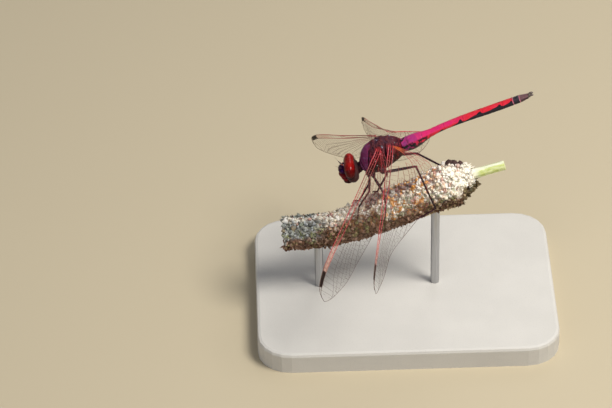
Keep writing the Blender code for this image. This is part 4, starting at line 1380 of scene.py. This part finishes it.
class Spike(bpy.types.Operator):
    """Models the dry seed spike: a core, crumbs of seed and husk on it and papery bracts between them"""

    bl_idname = "dropwing.spike"
    bl_label = "Seed spike"

    def execute(self, context):
        settings = context.scene.dropwing_spike
        husk = self.husk_finish(settings)
        finish_piece(self.core(), husk, ["perch_spike"])
        finish_piece(self.crumbs(settings), husk, angle=None)
        finish_piece(self.bracts(settings), husk, angle=None)
        return {"FINISHED"}

    def core(self):
        def place(part, angle):
            y = PERCH_FRONT + (PERCH_BACK - PERCH_FRONT) * part
            lump = noise.noise(Vector((sin(angle) * 3, y * 0.9, cos(angle) * 3)))
            shade = 0.5 + 0.5 * noise.noise(Vector((sin(angle) * 6, y * 2.1, cos(angle) * 6)))
            rounding = min(1, sqrt(min(part, 1 - part) * END_ROUNDING))
            mean = perch_radius(y)
            point, out, _ = on_perch(y, angle, (mean - 0.35 + 0.16 * lump) * rounding - mean)
            return point, dict(zip(SPIKE_MARKS, (shade, facing_up(out), 0.0)))

        return shaped_sphere("spike_core", 72, 120, place)

    def crumbs(self, settings):
        """Lumps of a few irregular kinds, turned and sized at random and half sunk into the core."""
        rng = random.Random("crumbs")
        kinds = []
        for kind in range(8):
            deselect_all()
            bpy.ops.mesh.primitive_ico_sphere_add(subdivisions=2, radius=0.5)
            points, faces = model_of(active_named("crumb_model"))
            shift = Vector((kind * 7.3, 0, 0))
            lumpy = []
            for point in points:
                swell = 0.6 * noise.noise(point * 2.6 + shift) + 0.2 * noise.noise(point * 6.5 + shift)
                lumpy.append(point * (1 + swell))
            kinds.append((lumpy, faces))
        gathered = Gathered(*SPIKE_MARKS)
        for _ in range(settings.crumbs):
            y = rng.uniform(PERCH_FRONT + 0.25, PERCH_BACK - 0.2)
            size = settings.crumb * rng.uniform(0.3, 1.0) ** 0.8
            lift = rng.uniform(-0.3, 0.22) - 0.5 * size / MM
            middle, out, _ = on_perch(y, rng.uniform(-pi, pi), lift + 0.2)
            self.crumb(gathered, rng, rng.choice(kinds), middle, out, size, rng.random())
        for y, angle, size, shade in WITHERED:
            middle, out, _ = on_perch(y, angle, 0.1)
            self.crumb(gathered, rng, kinds[1], middle, out, size * MM, shade, withered=1.0)
        return gathered.make("spike_crumbs")

    def crumb(self, gathered, rng, model, middle, out, size, shade, withered=0.0):
        points, faces = model
        turn = Euler([rng.uniform(-pi, pi) for _ in range(3)]).to_matrix()
        turn = turn @ Matrix.Diagonal([rng.uniform(0.6, 1.0) for _ in range(3)])
        points = [middle + turn @ (point * size) for point in points]
        gathered.add(points, faces, shade, facing_up(out), withered)

    def bracts(self, settings):
        """Curled ragged papery scales, thin and closed. Those at the rear end lie along the stem."""
        gathered = Gathered(*SPIKE_MARKS)
        rng = random.Random("bracts")
        for number in range(settings.bracts):
            rear = number % 16 == 0
            reach = (PERCH_BACK - 1.6, PERCH_BACK - 0.2) if rear else (PERCH_FRONT + 0.3, PERCH_BACK)
            y = rng.uniform(*reach)
            middle, out, along = on_perch(y, rng.uniform(-pi, pi), rng.uniform(-0.45, -0.1))
            size = rng.uniform(0.35, 0.85) * MM * (1.2 if rear else 1)
            slant = rng.uniform(0.8, 1) if rear else rng.uniform(-1, 0.6)
            aside = along.cross(out) * rng.uniform(-0.6, 0.6)
            ahead = (along * slant + aside + out * rng.uniform(-0.35 if rear else 0.0, 0.3)).normalized()
            side = ahead.cross(out).normalized()
            side = (Matrix.Rotation(rng.uniform(-0.9, 0.9), 3, ahead) @ side).normalized()
            over = side.cross(ahead).normalized()
            rings = []
            curl = rng.uniform(-0.1, 0.4)
            for layer in (0, 1):
                ragged = random.Random(number)
                for part, half in ((0.0, 0.2), (0.3, 0.38), (0.7, 0.34), (1.0, 0.14)):
                    for sign in (-1, 0, 1):
                        cup = 0.16 * (1 - abs(sign)) * (1 - part)
                        reach = part * (1 + ragged.uniform(-0.25, 0.25))
                        wide = sign * half * (1 + ragged.uniform(-0.35, 0.35))
                        rise = curl * part * part - cup + layer * 0.05
                        rings.append(middle + (over * rise + side * wide + ahead * reach) * size)
            gathered.add(rings, BRACT_FACES, rng.random(), facing_up(out), 0.0)
        return gathered.make("spike_bracts")

    def husk_finish(self, settings):
        husk = Finish("spike_crumb_and_bract", roughness=0.85, specular=0.25)
        shade, lit = husk.mark("shade"), husk.mark("lit")
        fine = husk.noise(0.0003, detail=4.0)
        patch = husk.noise(0.0022, detail=2.0)
        fleck = husk.noise(0.0009, detail=1.0)
        y = husk.node("SeparateXYZ", None, {0: husk.place}, out="Y") * (1 / MM)
        facing = lit + patch.swing(0.45)
        dark = husk.ramp(
            shade, (0.0, settings.brown * 0.5), (0.4, settings.brown),
            (0.75, (0.4, 0.25, 0.18)), (1.0, (0.12, 0.07, 0.05)),
        )
        pale = husk.ramp(
            shade, (0.0, (0.72, 0.58, 0.42)), (0.12, settings.cream), (0.5, (0.99, 0.95, 0.89)),
            (0.85, settings.cream), (0.93, settings.pink), (1.0, (0.55, 0.3, 0.24)),
        )
        worn = husk.ramp(
            shade, (0.0, (0.1, 0.1, 0.09)), (0.35, settings.grey), (0.6, (0.42, 0.44, 0.46)),
            (0.8, (0.2, 0.22, 0.17)), (1.0, (0.25, 0.17, 0.13)),
        )
        # Pale above the brown: partly the spike's own colours, partly painted sunlight on its upper side
        upper = (facing + y.between(-9.5, -2.0) * 0.2 + y.between(2.0, 8.0) * 0.06).between(0.7, 0.82)
        # The front end has weathered along its sides
        front = (y + patch.swing(8.0)).between(-13.5, -17.5)
        flank = facing.between(0.45, 0.57) * (1 - facing.between(0.92, 0.98) * 0.6)
        # Under the insect the upper side is painted dark mauve-brown: a painted shadow of the insect's body
        painted_shadow = (y + 2.5 + patch.swing(4.0)).distance(0.0).between(5.0, 3.5) * facing.between(0.76, 0.82)
        # Ripe orange and green flecks, most of them in the middle of the length
        middle = 1 - y.distance(0.5).between(2.0, 7.0) * 0.8
        ripe = fleck.between(0.56, 0.6) * middle * (1 - front) * facing.between(0.45, 0.6)
        green = fleck.between(0.44, 0.4) * facing.between(0.3, 0.5) * lit.between(0.85, 0.7)
        # The rear end is painted pale above, partly its own colour and partly painted sunlight, and darker
        # below
        pale_and_sunlit_rear = y.between(PERCH_BACK - 3.4, PERCH_BACK - 1.6) * facing.between(0.45, 0.55)
        under = facing.between(0.5, 0.4) * y.between(PERCH_BACK - 2.6, PERCH_BACK - 1.4)
        final = husk.over(
            dark,
            (y.between(0.0, 5.0) * shade.between(0.4, 0.7) * 0.7, (0.6, 0.45, 0.27)),
            (upper, pale),
            (front * flank, worn),
            # The painted shadow of the insect
            (painted_shadow * 0.85, (0.15, 0.085, 0.08)),
            (ripe * 0.85, settings.orange),
            (green * 0.6, settings.olive),
            # Pale rear, partly painted sunlight
            (pale_and_sunlit_rear, (0.93, 0.88, 0.77)),
            (under * 0.85, (0.1, 0.075, 0.035)),
            (husk.mark("withered") * shade.between(0.3, 0.1), (0.09, 0.05, 0.045)),
            (fine.between(0.55, 0.8) * 0.35, (0.16, 0.1, 0.06)),
        )
        husk.set(base_color=final, normal=husk.bump(fine, 0.00015, 0.8))
        return husk


class Stem(bpy.types.Operator):
    """Models the ribbed, downy green stem at the spike's upper end"""

    bl_idname = "dropwing.stem"
    bl_label = "Stem"

    def execute(self, context):
        settings = context.scene.dropwing_spike
        end, along, up = perch_frame(PERCH_BACK)
        across = Vector((1, 0, 0))
        run = Vector((0, 1, STEM_SLOPE)).normalized()
        over_run = Vector((0, -run.z, run.y))
        start = end + along * 0.04 + up * STEM_OFFSET

        def place(part, angle):
            reach = min((STEM_LENGTH + 0.5) * part - 0.5, STEM_LENGTH - 0.02)
            rim = min(1, min(part, 1 - part) * END_ROUNDING)
            rib = cos(angle * STEM_RIBS)
            radius = STEM_RADIUS * (1.1 - 0.1 * ease(part * 2)) * (0.975 + 0.022 * rib) * rim
            over = up.lerp(over_run, min(part * 4, 1)).normalized()
            point = start + run * reach + (across * sin(angle) + over * cos(angle)) * radius
            return point * MM, {"rib": rib, "reach": part, "rim": rim, "crest": cos(angle)}

        stem = shaped_sphere("stem", 90, 60, place)
        green = Finish("stem_lime_green", roughness=0.6)
        fine = green.noise(0.0003, place=green.stretched((1, 0.25, 0.25)))
        reach = green.mark("reach")
        final = green.over(
            settings.stem * 0.82,
            (green.mark("rib").between(-0.4, 0.8), settings.stem),
            (fine.between(0.4, 0.65) * 0.6, (0.82, 0.86, 0.5)),
            ((green.mark("crest") + fine.swing(0.5)).between(0.75, 0.95) * 0.7, (0.93, 0.94, 0.8)),
            (reach.between(0.35, 0.1) * 0.8, (0.95, 0.93, 0.82)),
            (green.mark("rim").between(0.98, 0.8) * reach.between(0.9, 0.95), (0.62, 0.64, 0.36)),
        )
        green.set(base_color=final, normal=green.bump(fine, 0.0001))
        finish_piece(stem, green, ["perch_stem"])

        down = Gathered()
        rng = random.Random("down")
        for _ in range(STEM_HAIRS):
            angle = rng.uniform(-pi, pi)
            out = across * sin(angle) + over_run * cos(angle)
            root = (start + run * rng.uniform(0.2, STEM_LENGTH - 0.3) + out * STEM_RADIUS * 0.93) * MM
            way = (out + run * rng.uniform(-0.6, 0.6) + across * rng.uniform(-0.3, 0.3)).normalized()
            down.tube([root, root + way * rng.uniform(0.15, 0.35) * MM], DOWN_RADII, 3)
        hair = mottled("stem_down", 0.001, (0.62, 0.68, 0.4), (0.8, 0.82, 0.6), roughness=0.7)
        finish_piece(down.make("stem_down"), hair, angle=None)
        return {"FINISHED"}


class StandSettings(bpy.types.PropertyGroup):
    paint: colour("Paint", "Pale matte paint of the base", (0.6, 0.58, 0.54))
    steel: colour("Steel", "Satin steel of the rods", (0.55, 0.55, 0.56))


class Stand(bpy.types.Operator):
    """Finishes the display stand's base and rods"""

    bl_idname = "dropwing.stand"
    bl_label = "Stand"

    def execute(self, context):
        settings = context.scene.dropwing_stand
        paint = Finish("base_powder_paint", roughness=0.6)
        speck, cloud = paint.noise(0.00025, detail=2.0), paint.noise(0.009)
        base = paint.over(
            settings.paint,
            (cloud.between(0.3, 0.7) * 0.35, settings.paint * 0.86),
            (speck.between(0.55, 0.75) * 0.25, (0.42, 0.4, 0.37)),
        )
        paint.set(base_color=base, roughness=0.55 + speck * 0.2, normal=paint.bump(speck, 0.00004, 0.4))
        steel = Finish("rod_satin_steel", roughness=0.3, metallic=1.0)
        brushed = steel.noise(0.0002, place=steel.stretched((1, 1, 0.06)))
        steel.set(base_color=steel.mix(brushed, settings.steel, settings.steel * 0.7))
        steel.set(roughness=0.24 + brushed * 0.2, normal=steel.bump(brushed, 0.00001, 0.4))
        for name, finish in (("base", paint), ("rod_front", steel), ("rod_back", steel)):
            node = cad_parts["stand_" + name]
            if not node.material_slots:
                raise RuntimeError(f"{node.name} has no material slot")
            for slot in node.material_slots:
                slot.material = finish.material
        return {"FINISHED"}


# ---------------------------------------------------------------- stage


class StageSettings(bpy.types.PropertyGroup):
    floor: colour("Floor", "Plain pale floor", (0.5, 0.43, 0.3))
    lens: amount("Lens", "Focal length in millimetres", 200.0, min=10.0)
    distance: length("Distance", "From the camera to the insect's middle", 0.6)
    azimuth: amount("Azimuth", "Camera's direction round the model", radians(87.17), subtype="ANGLE")
    elevation: amount("Elevation", "Camera's height as an angle", radians(36.21), subtype="ANGLE")
    frame_right: length("Frame right", "How far the insect's middle is right of the frame's", 0.01447)
    frame_up: length("Frame up", "How far the insect's middle is above the frame's", 0.0097)
    key: amount("Key light", "Power of the main light in watts", 2.7, min=0.0)
    fill: amount("Fill light", "Power of the fill light in watts", 0.4, min=0.0)
    ambient: amount("Ambient", "Strength of the light all round", 0.26, min=0.0)


class Stage(bpy.types.Operator):
    """Lays the floor and sets the lights and the camera"""

    bl_idname = "dropwing.stage"
    bl_label = "Stage"

    def execute(self, context):
        settings = context.scene.dropwing_stage
        deselect_all()
        bpy.ops.mesh.primitive_plane_add(size=4)
        floor = active_named("floor")
        plain = Finish("floor_plain", roughness=0.75)
        tones = settings.floor, settings.floor * 0.93
        plain.set(base_color=plain.mix(plain.noise(0.05) * 0.25, *tones))
        floor.data.materials.append(plain.material)

        middle = INSECT.translation
        # The direction to the camera, the frame's right and its up
        turn, rise = settings.azimuth, settings.elevation
        toward = Vector((cos(rise) * sin(turn), -cos(rise) * cos(turn), sin(rise)))
        right = Vector((cos(turn), sin(turn), 0))
        up = toward.cross(right)
        camera = linked("camera", bpy.data.cameras.new("camera"))
        camera.data.lens = settings.lens
        camera.data.sensor_width = 36
        camera.data.clip_start = 0.005
        camera.data.clip_end = 20
        place = middle + toward * settings.distance
        back = (place - (middle - right * settings.frame_right - up * settings.frame_up)).normalized()
        right = (right - back * right.dot(back)).normalized()
        turned = Matrix((right, back.cross(right), back)).transposed()
        camera.matrix_world = Matrix.Translation(place) @ turned.to_4x4()
        context.scene.camera = camera

        lamps = (
            ("key", (0.12, 0.22, 0.42), 0.22, settings.key, (1.0, 0.97, 0.92)),
            ("fill", (0.38, -0.3, 0.25), 0.35, settings.fill, (0.93, 0.96, 1.0)),
            ("rim", (-0.35, 0.1, 0.3), 0.2, settings.fill * 0.5, (1.0, 1.0, 1.0)),
        )
        for name, place, size, power, tone in lamps:
            lamp = linked(name, bpy.data.lights.new(name, "AREA"))
            lamp.data.shape = "DISK"
            lamp.data.size = size
            lamp.data.energy = power
            lamp.data.color = tone
            lamp.location = place
            lamp.rotation_euler = (middle - lamp.location).to_track_quat("-Z", "Y").to_euler()
        context.scene.view_settings.view_transform = "Standard"
        world = bpy.data.worlds.new("studio")
        world.use_nodes = True
        background = world.node_tree.nodes["Background"]
        background.inputs["Color"].default_value = (0.92, 0.94, 1.0, 1)
        background.inputs["Strength"].default_value = settings.ambient
        context.scene.world = world
        return {"FINISHED"}


# ---------------------------------------------------------------- panel and registration


SETTINGS = {
    "dropwing_body": BodySettings,
    "dropwing_head": HeadSettings,
    "dropwing_wings": WingSettings,
    "dropwing_legs": LegSettings,
    "dropwing_spike": SpikeSettings,
    "dropwing_stand": StandSettings,
    "dropwing_stage": StageSettings,
}
STEPS = (Stage, BodySkin, Eyes, HeadParts, Wings, Legs, Cerci, Spike, Stem, Stand)


class DropwingPanel(bpy.types.Panel):
    """Lists the model's steps and settings"""

    bl_label = "Dropwing"
    bl_idname = "VIEW3D_PT_dropwing"
    bl_space_type = "VIEW_3D"
    bl_region_type = "UI"
    bl_category = "Dropwing"

    def draw(self, context):
        for step in STEPS:
            self.layout.operator(step.bl_idname)
        for name in SETTINGS:
            group = getattr(context.scene, name)
            box = self.layout.box()
            for key in group.__annotations__:
                box.prop(group, key)


def register():
    for name, group in SETTINGS.items():
        bpy.utils.register_class(group)
        setattr(bpy.types.Scene, name, PointerProperty(type=group))
    for step in STEPS:
        bpy.utils.register_class(step)
    bpy.utils.register_class(DropwingPanel)


def unregister():
    bpy.utils.unregister_class(DropwingPanel)
    for step in reversed(STEPS):
        bpy.utils.unregister_class(step)
    for name, group in SETTINGS.items():
        delattr(bpy.types.Scene, name)
        bpy.utils.unregister_class(group)


def main():
    register()
    bpy.ops.dropwing.stage()
    bpy.ops.dropwing.body_skin()
    bpy.ops.dropwing.eyes()
    bpy.ops.dropwing.head_parts()
    bpy.ops.dropwing.wings()
    bpy.ops.dropwing.legs()
    bpy.ops.dropwing.cerci()
    bpy.ops.dropwing.spike()
    bpy.ops.dropwing.stem()
    bpy.ops.dropwing.stand()
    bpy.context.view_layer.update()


if __name__ == "__main__":
    main()
